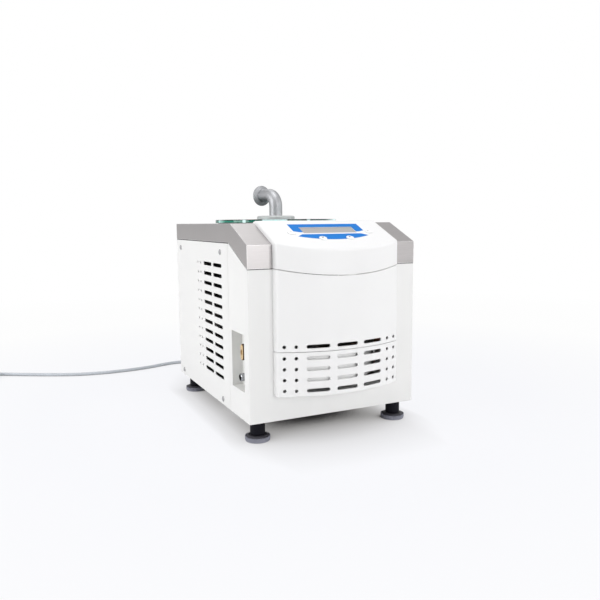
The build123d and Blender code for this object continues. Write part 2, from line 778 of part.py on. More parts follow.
outlet_z = top_z + elbow_height
outlet_dir = (-math.sin(math.radians(elbow_turn)), -math.cos(math.radians(elbow_turn)), 0.0)
elbow_foot_z = boss_z + fit_gap
elbow_corner = (0.0, chamber_y, outlet_z)
outlet_face = tuple(c + elbow_reach * d for c, d in zip(elbow_corner, outlet_dir))
outlet_plane = Plane(origin=outlet_face, z_dir=outlet_dir)
flange_round = 0.6
flange_back = 3.4
flange_back_angle = 60
with BuildPart() as vacuum_elbow:
    with BuildLine() as elbow_path:
        FilletPolyline((0, chamber_y, elbow_foot_z), elbow_corner, outlet_face, radius=elbow_bend)
    with BuildSketch(Plane.XY.offset(elbow_foot_z)):
        with Locations((0, chamber_y)):
            Circle(elbow_r)
    sweep(path=elbow_path.line)
    with BuildSketch(outlet_plane.offset(-flange_rim)):
        Circle(flange_r)
    extrude(amount=flange_rim)
    with BuildSketch(outlet_plane.offset(-flange_rim)):
        Circle(flange_r - flange_round)
    extrude(amount=-flange_back, taper=flange_back_angle)
    with BuildSketch(Plane.XY.offset(elbow_foot_z)):
        with Locations((0, chamber_y)):
            Circle(elbow_bore)
    sweep(path=elbow_path.line, mode=Mode.SUBTRACT)
    with BuildSketch(outlet_plane):
        Circle(port_r)
    extrude(amount=-port_depth, mode=Mode.SUBTRACT)
    rims = vacuum_elbow.edges().filter_by(GeomType.CIRCLE)
    fillet(rims.filter_by(lambda e: e.radius > flange_r - flange_round / 2), flange_round * 0.9)
vacuum_elbow.part.label = "vacuum_elbow"
export_step(vacuum_elbow.part, "parts/vacuum_elbow.step")

# ---------------------------------------------------------------- drain
with BuildPart() as valve_recess:
    with BuildSketch(Plane.YZ.offset(-inner_x)):
        with Locations(recess_middle):
            Rectangle(*[size + 2 * recess_flange for size in recess_size])
    extrude(amount=sheet)
    with BuildSketch(Plane.YZ.offset(-inner_x)):
        with Locations(recess_middle):
            Rectangle(*[size + 2 * sheet for size in recess_size])
    extrude(amount=recess_x + sheet + inner_x)
    with BuildSketch(Plane.YZ.offset(-inner_x)):
        with Locations(recess_middle):
            Rectangle(*recess_size)
    extrude(amount=recess_x + inner_x, mode=Mode.SUBTRACT)
    with BuildSketch(Plane.YZ.offset(recess_x)):
        with Locations(knob_at):
            Circle(stud_r + running_fit)
        with Locations(nozzle_at):
            Circle(nozzle_r - 1.0)
    extrude(amount=sheet, mode=Mode.SUBTRACT)
valve_recess.part.label = "valve_recess"
export_step(valve_recess.part, "parts/valve_recess.step")

valve_x = recess_x + sheet
valve_length = 22.0
valve_hex_r = (13.0, 9.0)  # round the knob's spindle and the nozzle
valve_web = (8.0, 2.0)  # width, and gap to the recess
outlet_length = 10.0
spindle_depth = 8.0
hose_bore_r = 4.5
hose_port_r = 5.0
hose_port_y = knob_at[0] + 32.0
with BuildPart() as drain_valve_body:
    with BuildSketch(Plane.YZ.offset(valve_x)):
        with Locations(knob_at):
            RegularPolygon(valve_hex_r[0], 6)
    extrude(amount=valve_length)
    with BuildSketch(Plane.YZ.offset(valve_x)):
        with Locations(nozzle_at):
            RegularPolygon(valve_hex_r[1], 6)
    extrude(amount=outlet_length)
    with BuildSketch(Plane.YZ.offset(valve_x + valve_web[1])):
        with BuildLine():
            Polyline(
                (knob_at[0] - valve_web[0] / 2, knob_at[1]),
                (nozzle_at[0] - valve_web[0] / 2, nozzle_at[1]),
                (nozzle_at[0] + valve_web[0] / 2, nozzle_at[1]),
                (knob_at[0] + valve_web[0] / 2, knob_at[1]),
                close=True,
            )
        make_face()
    extrude(amount=outlet_length - valve_web[1])
    with BuildSketch(Plane.XZ.offset(-knob_at[0])):
        with Locations((valve_x + valve_length / 2, knob_at[1])):
            Circle(hose_port_r)
    extrude(amount=-(hose_port_y - knob_at[0]))
    with BuildSketch(Plane.YZ.offset(valve_x)):
        with Locations(knob_at):
            Circle(stud_r + running_fit)
        with Locations(nozzle_at):
            Circle(nozzle_bore_r)
    extrude(amount=spindle_depth, mode=Mode.SUBTRACT)
drain_valve_body.part.label = "drain_valve_body"
export_step(drain_valve_body.part, "parts/drain_valve_body.step")

knob_x = recess_x - knob_gap
knob_face_x = knob_x - knob_collar - knob_grip_depth
with BuildPart() as drain_knob:
    with BuildSketch(Plane.YZ.offset(knob_x - knob_collar)):
        with Locations(knob_at):
            SlotOverall(*knob_grip, rotation=90)
    extrude(amount=-knob_grip_depth)
    fillet(drain_knob.faces().sort_by(Axis.X)[0].edges(), 1.5)
    with BuildSketch(Plane.YZ.offset(knob_x)):
        with Locations(knob_at):
            Circle(knob_collar_r)
    extrude(amount=-knob_collar)
    with BuildSketch(Plane.YZ.offset(knob_face_x)):
        with Locations(knob_at):
            Circle(stud_r)
    extrude(amount=1.0, mode=Mode.SUBTRACT)
    with BuildSketch(Plane.YZ.offset(knob_x)):
        with Locations(knob_at):
            Circle(stud_r)
    extrude(amount=knob_gap + sheet + spindle_depth - 1.0)
drain_knob.part.label = "drain_knob"
export_step(drain_knob.part, "parts/drain_knob.step")

with BuildPart() as drain_nozzle:
    with BuildSketch(Plane.YZ.offset(recess_x)):
        with Locations(nozzle_at):
            RegularPolygon(nozzle_hex_r, 6)
    extrude(amount=-nozzle_hex)
    with BuildSketch(Plane.YZ.offset(recess_x - nozzle_hex)):
        with Locations(nozzle_at):
            Circle(nozzle_r)
    extrude(amount=nozzle_hex - nozzle_length)
    tip = drain_nozzle.edges().filter_by(GeomType.CIRCLE).sort_by(Axis.X)[0]
    chamfer(tip, nozzle_tip)
    with BuildSketch(Plane.YZ.offset(recess_x)):
        with Locations(nozzle_at):
            Circle(nozzle_r - 1.0 - slip)
    extrude(amount=sheet)
    with BuildSketch(Plane.YZ.offset(recess_x - nozzle_length)):
        with Locations(nozzle_at):
            Circle(nozzle_bore_r)
    extrude(amount=nozzle_length + sheet, mode=Mode.SUBTRACT)
drain_nozzle.part.label = "drain_nozzle"
export_step(drain_nozzle.part, "parts/drain_nozzle.step")

hose_x = valve_x + valve_length / 2
hose_low_z = spout_end_z - 27.0
hose_points = [
    (0, chamber_y, spout_end_z),
    (0, chamber_y, hose_low_z),
    (-62, -8, hose_low_z),
    (hose_x, hose_port_y + 45, knob_at[1]),
    (hose_x, hose_port_y, knob_at[1]),
]
with BuildPart() as drain_hose:
    add(pipe(hose_points, spout_r, [20.0, 60.0, 30.0], bore=hose_bore_r))
drain_hose.part.label = "drain_hose"
export_step(drain_hose.part, "parts/drain_hose.step")

# ---------------------------------------------------------------- refrigeration
compressor_at = (35.0, 120.0)
compressor_r = 60.0
compressor_base_z = floor_z + 10.0
compressor_height = 112.0
compressor_rounds = (30.0, 18.0)  # upper and lower end of the shell
weld_z = 62.0
weld_size = (2.5, 3.0)
mount_plate = (124.0, 124.0)
mount_plate_thickness = 2.5
mount_pitch = 100.0
terminal_box = (52.0, 40.0)
terminal_box_z = 36.0
stub_r = 5.0
stub_length = 14.0
stub_z = (78.0, 52.0)  # discharge and suction, above the shell's base
stub_back = 20.0
grommet_r = 10.0
with BuildPart() as compressor:
    with Locations((*compressor_at, compressor_base_z)):
        Cylinder(compressor_r, compressor_height, align=(Align.CENTER, Align.CENTER, Align.MIN))
    shell_rims = compressor.edges().filter_by(GeomType.CIRCLE)
    fillet(shell_rims.sort_by(Axis.Z)[-1], compressor_rounds[0])
    fillet(compressor.edges().filter_by(GeomType.CIRCLE).sort_by(Axis.Z)[0], compressor_rounds[1])
    with Locations((*compressor_at, compressor_base_z + weld_z)):
        Cylinder(compressor_r + weld_size[0], weld_size[1])
    with BuildSketch(Plane.XY.offset(compressor_base_z)):
        with Locations(compressor_at):
            RectangleRounded(*mount_plate, 20)
            with GridLocations(mount_pitch, mount_pitch, 2, 2):
                Circle(stub_r + slip, mode=Mode.SUBTRACT)
    extrude(amount=mount_plate_thickness)
    with BuildSketch(Plane.YZ.offset(compressor_at[0])):
        with Locations((compressor_at[1], compressor_base_z + terminal_box_z)):
            RectangleRounded(*terminal_box, 5)
    extrude(amount=-compressor_r - 16)
    for height in stub_z:
        with BuildSketch(Plane.YZ.offset(compressor_at[0])):
            with Locations((compressor_at[1] - stub_back, compressor_base_z + height)):
                Circle(stub_r)
        extrude(amount=compressor_r + stub_length)
compressor.part.label = "compressor"
export_step(compressor.part, "parts/compressor.step")

with BuildPart() as compressor_grommets:
    with Locations((*compressor_at, floor_z)):
        with GridLocations(mount_pitch, mount_pitch, 2, 2):
            Cylinder(
                grommet_r, compressor_base_z - floor_z, align=(Align.CENTER, Align.CENTER, Align.MIN)
            )
            Cylinder(
                stub_r,
                compressor_base_z - floor_z + mount_plate_thickness + 1.5,
                align=(Align.CENTER, Align.CENTER, Align.MIN),
            )
compressor_grommets.part.label = "compressor_grommets"
export_step(compressor_grommets.part, "parts/compressor_grommets.step")

block_half = 92.0
block_y = (-160.0, -120.0)
block_top_z = 148.0
block_lift = 10.0  # fins above the tray
fin_thickness = 0.4
fin_pitch = 3.2
pass_r = 4.75
pass_y = sum(block_y) / 2
pass_pitch = 20.0
pass_count = 5
pass_z = [floor_z + 2 * block_lift + 0.5 + i * pass_pitch for i in range(pass_count)]
fin_z = (floor_z + block_lift + block_top_z) / 2
fin_height = block_top_z - floor_z - block_lift
fin_count = int(2 * block_half / fin_pitch)
with BuildPart() as condenser_fins:
    fin_planes = [Plane.YZ.offset((i - (fin_count - 1) / 2) * fin_pitch) for i in range(fin_count)]
    with BuildSketch(*fin_planes):
        with Locations((pass_y, fin_z)):
            Rectangle(block_y[1] - block_y[0], fin_height)
        with Locations(*[(pass_y, z) for z in pass_z]):
            Circle(pass_r + running_fit, mode=Mode.SUBTRACT)
    extrude(amount=fin_thickness)
condenser_fins.part.label = "condenser_fins"
export_step(condenser_fins.part, "parts/condenser_fins.step")

plate_thickness = 1.2
with BuildPart() as condenser_frame:
    for side in (-1, 1):
        with BuildSketch(Plane.YZ.offset(side * block_half)):
            with Locations((pass_y, (floor_z + block_top_z) / 2)):
                Rectangle(block_y[1] - block_y[0], block_top_z - floor_z)
            with Locations(*[(pass_y, z) for z in pass_z]):
                Circle(pass_r + running_fit, mode=Mode.SUBTRACT)
        extrude(amount=side * plate_thickness)
condenser_frame.part.label = "condenser_frame"
export_step(condenser_frame.part, "parts/condenser_frame.step")

pass_end = block_half + 12.0
pass_bend = 9.9
liquid_stub = 5.0
discharge_stub = 8.0
pass_points = []
for i, z in enumerate(pass_z):
    ends = [(-pass_end, pass_y, z), (pass_end, pass_y, z)]
    pass_points += ends if i % 2 == 0 else ends[::-1]
pass_points[0] = (-block_half - liquid_stub, pass_y, pass_z[0])
pass_points[-1] = (block_half + discharge_stub, pass_y, pass_z[-1])
with BuildPart() as condenser_tube:
    add(pipe(pass_points, pass_r, [pass_bend] * (len(pass_points) - 2)))
condenser_tube.part.label = "condenser_tube"
export_step(condenser_tube.part, "parts/condenser_tube.step")

fan_z = fin_z
fan_r = 44.0
collar_r = fan_r + 2.0
collar_length = 10.0
shroud_depth = 15.0
shroud_wall = 1.5
shroud_back_y = block_y[1] + shroud_depth
hub_front_y = block_y[1] + 8.0
hub_r = 15.0
hub_length = 16.0
hub_gap = 8.0
motor_y = hub_front_y + hub_length + hub_gap
motor_r = 26.0
motor_length = 38.0
motor_round = 3.0
motor_boss_r = 7.0
shaft_r = 3.0
shaft_land = 2.0  # hub left ahead of the shaft's end
bracket_thickness = 2.0
bracket_width = 16.0
bracket_half = collar_r + 10
with BuildPart() as fan_shroud:
    with BuildSketch(Plane.XZ.offset(-block_y[1])):
        with Locations((0, fan_z)):
            Rectangle(2 * block_half, fin_height)
    extrude(amount=-shroud_depth)
    with BuildSketch(Plane.XZ.offset(-block_y[1])):
        with Locations((0, fan_z)):
            Rectangle(2 * (block_half - shroud_wall), fin_height - 2 * shroud_wall)
    extrude(amount=-shroud_depth + shroud_wall, mode=Mode.SUBTRACT)
    with BuildSketch(Plane.XZ.offset(-shroud_back_y + shroud_wall)):
        with Locations((0, fan_z)):
            Circle(collar_r + shroud_wall)
    extrude(amount=-shroud_wall - collar_length)
    with BuildSketch(Plane.XZ.offset(-block_y[1])):
        with Locations((0, fan_z)):
            Circle(collar_r)
    extrude(amount=-shroud_depth - collar_length, mode=Mode.SUBTRACT)
    with BuildSketch(Plane.XZ.offset(-motor_y)):
        with Locations((0, fan_z)):
            Rectangle(2 * bracket_half, bracket_width)
            Circle(motor_boss_r + running_fit, mode=Mode.SUBTRACT)
    extrude(amount=bracket_thickness)
    for side in (-1, 1):
        with BuildSketch(Plane.XZ.offset(-motor_y)):
            with Locations((side * (bracket_half - bracket_thickness / 2), fan_z)):
                Rectangle(bracket_thickness, bracket_width)
        extrude(amount=motor_y - shroud_back_y)
fan_shroud.part.label = "fan_shroud"
export_step(fan_shroud.part, "parts/fan_shroud.step")

with BuildPart() as fan_motor:
    with BuildSketch(Plane.XZ.offset(-motor_y)):
        with Locations((0, fan_z)):
            Circle(motor_r)
    extrude(amount=-motor_length)
    fillet(fan_motor.edges().filter_by(GeomType.CIRCLE), motor_round)
    with BuildSketch(Plane.XZ.offset(-motor_y)):
        with Locations((0, fan_z)):
            Circle(motor_boss_r)
    extrude(amount=bracket_thickness + 1)
    with BuildSketch(Plane.XZ.offset(-motor_y)):
        with Locations((0, fan_z)):
            Circle(shaft_r)
    extrude(amount=hub_gap + hub_length - shaft_land)
fan_motor.part.label = "fan_motor"
export_step(fan_motor.part, "parts/fan_motor.step")

blade_count = 5
blade_chord = 24.0
blade_thickness = 1.6
blade_pitch_angle = 32
with BuildPart() as fan_blade:
    fan_plane = Plane.XZ.offset(-(hub_front_y + hub_length / 2)).shift_origin(
        (0, hub_front_y + hub_length / 2, fan_z)
    )
    with BuildSketch(fan_plane):
        Circle(hub_r)
    extrude(amount=hub_length / 2, both=True)
    with Locations(fan_plane):
        with PolarLocations((hub_r + fan_r) / 2 - 1, blade_count):
            Box(
                fan_r - hub_r + 4, blade_chord, blade_thickness, rotation=(blade_pitch_angle, 0, 0)
            )
    with BuildSketch(fan_plane):
        Circle(fan_r)
        Circle(shaft_r + running_fit, mode=Mode.SUBTRACT)
    extrude(amount=hub_length, both=True, mode=Mode.INTERSECT)
fan_blade.part.label = "fan_blade"
export_step(fan_blade.part, "parts/fan_blade.step")

drier_at = (-inner_x + 29.5, -60.0)
drier_z = (190.0, 290.0)
drier_r = 12.0
drier_neck_r = 4.5
drier_ends = (8.0, 20.0)  # necks and shoulders, from either end
with BuildPart() as filter_drier:
    with BuildSketch(Plane.XZ.offset(-drier_at[1])):
        with BuildLine():
            Polyline(
                (drier_at[0], drier_z[0]),
                (drier_at[0] + 3.5, drier_z[0]),
                (drier_at[0] + drier_neck_r, drier_z[0] + drier_ends[0]),
                (drier_at[0] + drier_r, drier_z[0] + drier_ends[1]),
                (drier_at[0] + drier_r, drier_z[1] - drier_ends[1]),
                (drier_at[0] + drier_neck_r, drier_z[1] - drier_ends[0]),
                (drier_at[0] + 3.0, drier_z[1]),
                (drier_at[0], drier_z[1]),
                close=True,
            )
        make_face()
    revolve(axis=Axis((*drier_at, 0), (0, 0, 1)))
filter_drier.part.label = "filter_drier"
export_step(filter_drier.part, "parts/filter_drier.step")

port_x = compressor_at[0] + compressor_r + stub_length
port_y = compressor_at[1] - stub_back
port_z = [compressor_base_z + height for height in stub_z]
discharge_x = inner_x - 31.5
suction_x = inner_x - 15.5
discharge_points = [
    (port_x, port_y, port_z[0]),
    (discharge_x, port_y, port_z[0]),
    (discharge_x, block_y[1] + 20, pass_z[-1] - 6),
    (discharge_x, pass_y, pass_z[-1]),
    (block_half + discharge_stub, pass_y, pass_z[-1]),
]
with BuildPart() as discharge_line:
    add(pipe(discharge_points, pass_r, [10.0, 40.0, 10.0]))
discharge_line.part.label = "discharge_line"
export_step(discharge_line.part, "parts/discharge_line.step")

coil_end = coil_points[0]
suction_turn = (
    suction_x,
    coil_end[1] + (suction_x - coil_end[0]) * math.tan(math.radians(inlet_turn)),
    coil_end[2],
)
suction_points = [
    coil_end,
    suction_turn,
    (suction_x, suction_turn[1], port_z[1]),
    (suction_x, port_y, port_z[1]),
    (port_x, port_y, port_z[1]),
]
with BuildPart() as suction_line:
    add(pipe(suction_points, coil_tube_r, [12.0, 20.0, 14.0]))
suction_line.part.label = "suction_line"
export_step(suction_line.part, "parts/suction_line.step")

liquid_x = -inner_x + 12.5
liquid_r = 3.0
capillary_r = 1.6
liquid_points = [
    (-block_half - liquid_stub, pass_y, pass_z[0]),
    (-block_half - 20, pass_y, pass_z[0]),
    (-block_half - 20, -90, pass_z[0]),
    (liquid_x, drier_at[1], 92),
    (liquid_x, drier_at[1], 148),
    (drier_at[0], drier_at[1], drier_z[0] - 15),
    (drier_at[0], drier_at[1], drier_z[0]),
]
with BuildPart() as liquid_line:
    add(pipe(liquid_points, liquid_r, [9.0, 25.0, 25.0, 30.0, 10.0]))
liquid_line.part.label = "liquid_line"
export_step(liquid_line.part, "parts/liquid_line.step")

capillary_points = [
    (*drier_at, drier_z[1]),
    (*drier_at, coil_outlet_z),
    (-70, -112, coil_outlet_z),
    ring_point(coil_end_r + 47, outlet_turn, coil_outlet_z),
    coil_points[-1],
]
with BuildPart() as capillary_tube:
    add(pipe(capillary_points, capillary_r, [8.0, 30.0, 14.0]))
capillary_tube.part.label = "capillary_tube"
export_step(capillary_tube.part, "parts/capillary_tube.step")

# ---------------------------------------------------------------- electrics
supply_x = (-140.0, -56.0)
supply_y = (66.0, 176.0)
supply_height = 48.0
supply_vent = (60.0, 4.0)
supply_vent_pitch = 9.0
supply_vent_count = 7
supply_vent_back = 15.0
with BuildPart() as power_supply:
    with BuildSketch(Plane.XY.offset(floor_z)):
        with Locations((sum(supply_x) / 2, sum(supply_y) / 2)):
            Rectangle(supply_x[1] - supply_x[0], supply_y[1] - supply_y[0])
    extrude(amount=supply_height)
    with BuildSketch(Plane.XY.offset(floor_z + supply_height)):
        with Locations((sum(supply_x) / 2, sum(supply_y) / 2 + supply_vent_back)):
            with GridLocations(0, supply_vent_pitch, 1, supply_vent_count):
                SlotOverall(*supply_vent)
    extrude(amount=-2, mode=Mode.SUBTRACT)
power_supply.part.label = "power_supply"
export_step(power_supply.part, "parts/power_supply.step")

loom_r = 4.0
loom_x = (-inner_x + 11.5, -inner_x + 15.5, -inner_x + 33.5)
loom_points = [
    (-70, -160, 306),
    (-70, -160, 282),
    (loom_x[0], -112, 250),
    (loom_x[0], -20, 172),
    (loom_x[1], 62, 122),
    (loom_x[2], 105, 106),
    (loom_x[2], 105, floor_z + supply_height),
]
gland_nut_r = 11.0
gland_collar = 5.0
gland_cap_r = 9.5
gland_nut = 9.0
with BuildPart() as wiring_loom:
    add(pipe(loom_points, loom_r, [12.0, 40.0, 60.0, 30.0, 6.0]))
    with BuildSketch(Plane.XZ.offset(-supply_y[1])):
        with Locations(gland_at):
            Circle(cord_r)
    extrude(amount=supply_y[1] - back_y + sheet + gland_nut)
wiring_loom.part.label = "wiring_loom"
export_step(wiring_loom.part, "parts/wiring_loom.step")

with BuildPart() as cable_gland:
    with BuildSketch(Plane.XZ.offset(-back_y)):
        with Locations(gland_at):
            RegularPolygon(gland_nut_r, 6)
    extrude(amount=-gland_collar)
    with BuildSketch(Plane.XZ.offset(-back_y - gland_collar)):
        with Locations(gland_at):
            Circle(gland_cap_r)
    extrude(amount=gland_collar - gland_proud)
    with BuildSketch(Plane.XZ.offset(-back_y)):
        with Locations(gland_at):
            Circle(gland_r)
    extrude(amount=sheet)
    with BuildSketch(Plane.XZ.offset(-back_y + sheet)):
        with Locations(gland_at):
            RegularPolygon(gland_nut_r, 6)
    extrude(amount=gland_nut)
cable_gland.part.label = "cable_gland"
export_step(cable_gland.part, "parts/cable_gland.step")

fuse_flange = (8.5, 3.0)
fuse_cap = (6.5, 5.0)
fuse_slot = (8.0, 1.4)
fuse_body = 20.0
with BuildPart() as fuse_holder:
    with BuildSketch(Plane.XZ.offset(-back_y)):
        with Locations(fuse_at):
            Circle(fuse_flange[0])
    extrude(amount=-fuse_flange[1])
    with BuildSketch(Plane.XZ.offset(-back_y - fuse_flange[1])):
        with Locations(fuse_at):
            Circle(fuse_cap[0])
            Rectangle(*fuse_slot, mode=Mode.SUBTRACT)
    extrude(amount=-fuse_cap[1])
    with BuildSketch(Plane.XZ.offset(-back_y)):
        with Locations(fuse_at):
            Circle(fuse_r)
    extrude(amount=fuse_body)
fuse_holder.part.label = "fuse_holder"
export_step(fuse_holder.part, "parts/fuse_holder.step")

switch_at = recess_middle
switch_wall = 1.4
switch_depth = (22.0, 18.0)  # outside and inside, behind the panel's face
bezel_rim = 2.0
bezel_proud = 1.8
bezel_round = 0.8
rocker_x = half_w - 6.8
rocker_half = 12.3
rocker_tilt = 8.0
pivot_r = 1.5
with BuildPart() as switch_frame:
    with BuildSketch(Plane.YZ.offset(half_w)):
        with Locations(switch_at):
            RectangleRounded(switch_size[0] + 2 * bezel_rim, switch_size[1] + 2 * bezel_rim, bezel_rim)
    extrude(amount=bezel_proud)
    fillet(switch_frame.faces().sort_by(Axis.X)[-1].edges(), bezel_round)
    with BuildSketch(Plane.YZ.offset(half_w)):
        with Locations(switch_at):
            Rectangle(*switch_size)
    extrude(amount=-switch_depth[0])
    with BuildSketch(Plane.YZ.offset(half_w + bezel_proud)):
        with Locations(switch_at):
            Rectangle(switch_size[0] - 2 * switch_wall, switch_size[1] - 2 * switch_wall)
    extrude(amount=-switch_depth[1], mode=Mode.SUBTRACT)
    with BuildSketch(Plane.XZ.offset(-switch_at[0])):
        with Locations((rocker_x, switch_at[1])):
            Circle(pivot_r + running_fit)
    extrude(amount=switch_size[0] / 2 - slip, both=True, mode=Mode.SUBTRACT)
switch_frame.part.label = "switch_frame"
export_step(switch_frame.part, "parts/switch_frame.step")

rocker_width = switch_size[0] - 2 * switch_wall - 2 * fit_gap
rocker_plane = Plane(
    origin=(rocker_x, switch_at[0], switch_at[1]),
    x_dir=(math.cos(math.radians(rocker_tilt)), 0, math.sin(math.radians(rocker_tilt))),
    z_dir=(0, -1, 0),
)
with BuildPart() as switch_rocker:
    with BuildSketch(rocker_plane):
        with BuildLine():
            Polyline(
                (-5, -rocker_half + 2),
                (-2, -rocker_half),
                (7.2, -rocker_half),
                (5.6, 0),
                (7.2, rocker_half),
                (-2, rocker_half),
                (-5, rocker_half - 2),
                close=True,
            )
        make_face()
    extrude(amount=rocker_width / 2, both=True)
    with BuildSketch(rocker_plane):
        Circle(pivot_r)
    extrude(amount=switch_size[0] / 2 - 0.5, both=True)
switch_rocker.part.label = "switch_rocker"
export_step(switch_rocker.part, "parts/switch_rocker.step")

# ---------------------------------------------------------------- feet and screws
nut_height = 6.5
nut_r = 7.5
sleeve_round = 1.5
pad_slope = (3.0, 4.5)
pad_round = 0.8
stud_end = 8.0  # stud above its nut
sleeve_height = foot_height - pad_height - fit_gap
with BuildPart() as foot_sleeves:
    with Locations(*[(x, y, pad_height + fit_gap) for x, y in foot_spots]):
        Cylinder(sleeve_r, sleeve_height, align=(Align.CENTER, Align.CENTER, Align.MIN))
    fillet(foot_sleeves.edges().group_by(Axis.Z)[0], sleeve_round)
    with Locations(*[(x, y, foot_height) for x, y in foot_spots]):
        Hole(stud_r + running_fit, depth=foot_height)
foot_sleeves.part.label = "foot_sleeves"
export_step(foot_sleeves.part, "parts/foot_sleeves.step")

with BuildPart() as foot_nuts:
    for x, y in foot_spots:
        with BuildSketch(Plane.XY.offset(floor_z)):
            with Locations((x, y)):
                RegularPolygon(nut_r, 6)
                Circle(stud_r + running_fit, mode=Mode.SUBTRACT)
        extrude(amount=nut_height)
foot_nuts.part.label = "foot_nuts"
export_step(foot_nuts.part, "parts/foot_nuts.step")

for x, side in ((-foot_x, "left"), (foot_x, "right")):
    for y, end in ((foot_y[0], "front"), (foot_y[1], "rear")):
        with BuildPart() as foot:
            with Locations((x, y, 0)):
                Cylinder(pad_r, pad_height, align=(Align.CENTER, Align.CENTER, Align.MIN))
            pad_rims = foot.edges().filter_by(GeomType.CIRCLE).sort_by(Axis.Z)
            chamfer(pad_rims[-1], *pad_slope)
            fillet(foot.edges().filter_by(GeomType.CIRCLE).sort_by(Axis.Z)[0], pad_round)
            with Locations((x, y, pad_height / 2)):
                Cylinder(
                    stud_r,
                    floor_z + nut_height + stud_end - pad_height / 2,
                    align=(Align.CENTER, Align.CENTER, Align.MIN),
                )
        foot.part.label = f"foot_{end}_{side}"
        export_step(foot.part, f"parts/foot_{end}_{side}.step")

screw_length = 7.0
screw_round = 1.6
cross_size = (4.8, 1.1)
cross_depth = 1.2
screw_planes = [
    Plane(origin=(side * half_w, y, z), z_dir=(side, 0, 0))
    for side in (-1, 1)
    for y in panel_screw_y
    for z in panel_screw_z
]
screw_planes += [
    Plane(origin=(side * rear_screw_x, back_y, z), z_dir=(0, 1, 0))
    for side in (-1, 1)
    for z in panel_screw_z
]
with BuildPart() as panel_screws:
    with BuildSketch(*screw_planes):
        Circle(screw_head_r)
    extrude(amount=screw_head)
    tops = [
        edge
        for edge in panel_screws.edges().filter_by(GeomType.CIRCLE)
        if abs(edge.center().X) > half_w + 1 or edge.center().Y > back_y + 1
    ]
    fillet(tops, screw_round)
    with BuildSketch(*[plane.offset(screw_head) for plane in screw_planes]):
        Rectangle(*cross_size)
        Rectangle(*cross_size, rotation=90)
    extrude(amount=-cross_depth, mode=Mode.SUBTRACT)
    with BuildSketch(*screw_planes):
        Circle(screw_r)
    extrude(amount=-screw_length)
panel_screws.part.label = "panel_screws"
export_step(panel_screws.part, "parts/panel_screws.step")

# ---------------------------------------------------------------- mains cord
gland_end_y = back_y + gland_proud
relief_r = (7.5, 4.6)  # at the gland and at the free end
with BuildPart() as strain_relief:
    with BuildSketch(Plane.XZ.offset(-gland_end_y)):
        with Locations(gland_at):
            Circle(relief_r[0])
    with BuildSketch(Plane.XZ.offset(-gland_end_y - relief_length)):
        with Locations(gland_at):
            Circle(relief_r[1])
    loft()
strain_relief.part.label = "strain_relief"
export_step(strain_relief.part, "parts/strain_relief.step")

cord_route = [
    (-60.0, 265.0, 70.0),
    (-60.0, 286.0, 70.0),
    (-59.5, 312.0, 60.5),
    (-58.5, 338.0, 44.0),
    (-57.5, 362.0, 24.5),
    (-57.0, 385.0, 10.0),
    (-58.0, 408.0, 4.6),
    (-65.0, 432.0, 3.6),
    (-84.0, 450.0, 3.6),
    (-112.0, 453.5, 3.6),
    (-141.0, 446.0, 3.6),
    (-182.0, 431.0, 3.6),
    (-229.0, 424.0, 3.6),
    (-276.0, 423.0, 3.6),
    (-322.0, 429.0, 3.6),
    (-362.0, 442.0, 3.6),
    (-402.0, 462.0, 3.6),
    (-445.0, 486.0, 3.6),
    (-492.0, 514.0, 3.6),
    (-522.0, 533.3, 3.6),
]
route = [Vector(point) for point in cord_route]
runs = [b - a for a, b in zip(route, route[1:])]
turns = [math.radians(a.get_angle(b)) for a, b in zip(runs, runs[1:])]
cord_bends = [
    0.45 * min(a.length, b.length) / math.tan(turn / 2) for a, b, turn in zip(runs, runs[1:], turns)
]
print("cord bend radii", [round(r) for r in cord_bends])
with BuildPart() as mains_cord:
    with BuildLine() as cord_line:
        FilletPolyline(*cord_route, radius=cord_bends)
    with BuildSketch(Plane(origin=cord_line.line @ 0, z_dir=cord_line.line % 0)):
        Circle(cord_r)
    sweep(path=cord_line.line)
cord_length = sum(edge.length for edge in cord_line.edges())
print("cord tube", round(cord_length, 1), round(mains_cord.part.volume / (math.pi * cord_r**2), 1))
mains_cord.part.label = "mains_cord"
export_step(mains_cord.part, "parts/mains_cord.step")

hank_at = (-565.6, 515.0)
hank_r = 38.5
hank_half = 10.5
hank_height = 13.4
with BuildPart() as cord_coil:
    with Locations((*hank_at, 0.1)):
        Cylinder(hank_r + hank_half, hank_height, align=(Align.CENTER, Align.CENTER, Align.MIN))
        Cylinder(
            hank_r - hank_half,
            hank_height,
            align=(Align.CENTER, Align.CENTER, Align.MIN),
            mode=Mode.SUBTRACT,
        )
    fillet(cord_coil.edges().filter_by(GeomType.CIRCLE), cord_r)
cord_coil.part.label = "cord_coil"
export_step(cord_coil.part, "parts/cord_coil.step")

plug_tilt = 11.2
plug_at = (hank_at[0] - hank_r, 486.0, 6.6)
plug_length = 62.0
pin_r = 2.4
pin_length = 19.0
pin_offset = 9.5
plug_plane = Plane(
    origin=plug_at,
    x_dir=(1, 0, 0),
    z_dir=(0, -math.cos(math.radians(plug_tilt)), math.sin(math.radians(plug_tilt))),
)
plug_profile = [
    (0, 0),
    (4.6, 0),
    (6.5, 28),
    (11.4, 29),
    (18.0, 57),
    (18.0, plug_length),
    (0, plug_length),
]
with BuildPart() as mains_plug:
    with BuildSketch(Plane(origin=plug_plane.origin, x_dir=(1, 0, 0), z_dir=-plug_plane.y_dir)):
        with BuildLine():
            Polyline(*plug_profile, close=True)
        make_face()
    revolve(axis=Axis(plug_plane.origin, plug_plane.z_dir))
    with BuildSketch(plug_plane.offset(plug_length)):
        with Locations((-pin_offset, 0), (pin_offset, 0)):
            Circle(pin_r)
    extrude(amount=pin_length)
mains_plug.part.label = "mains_plug"
export_step(mains_plug.part, "parts/mains_plug.step")
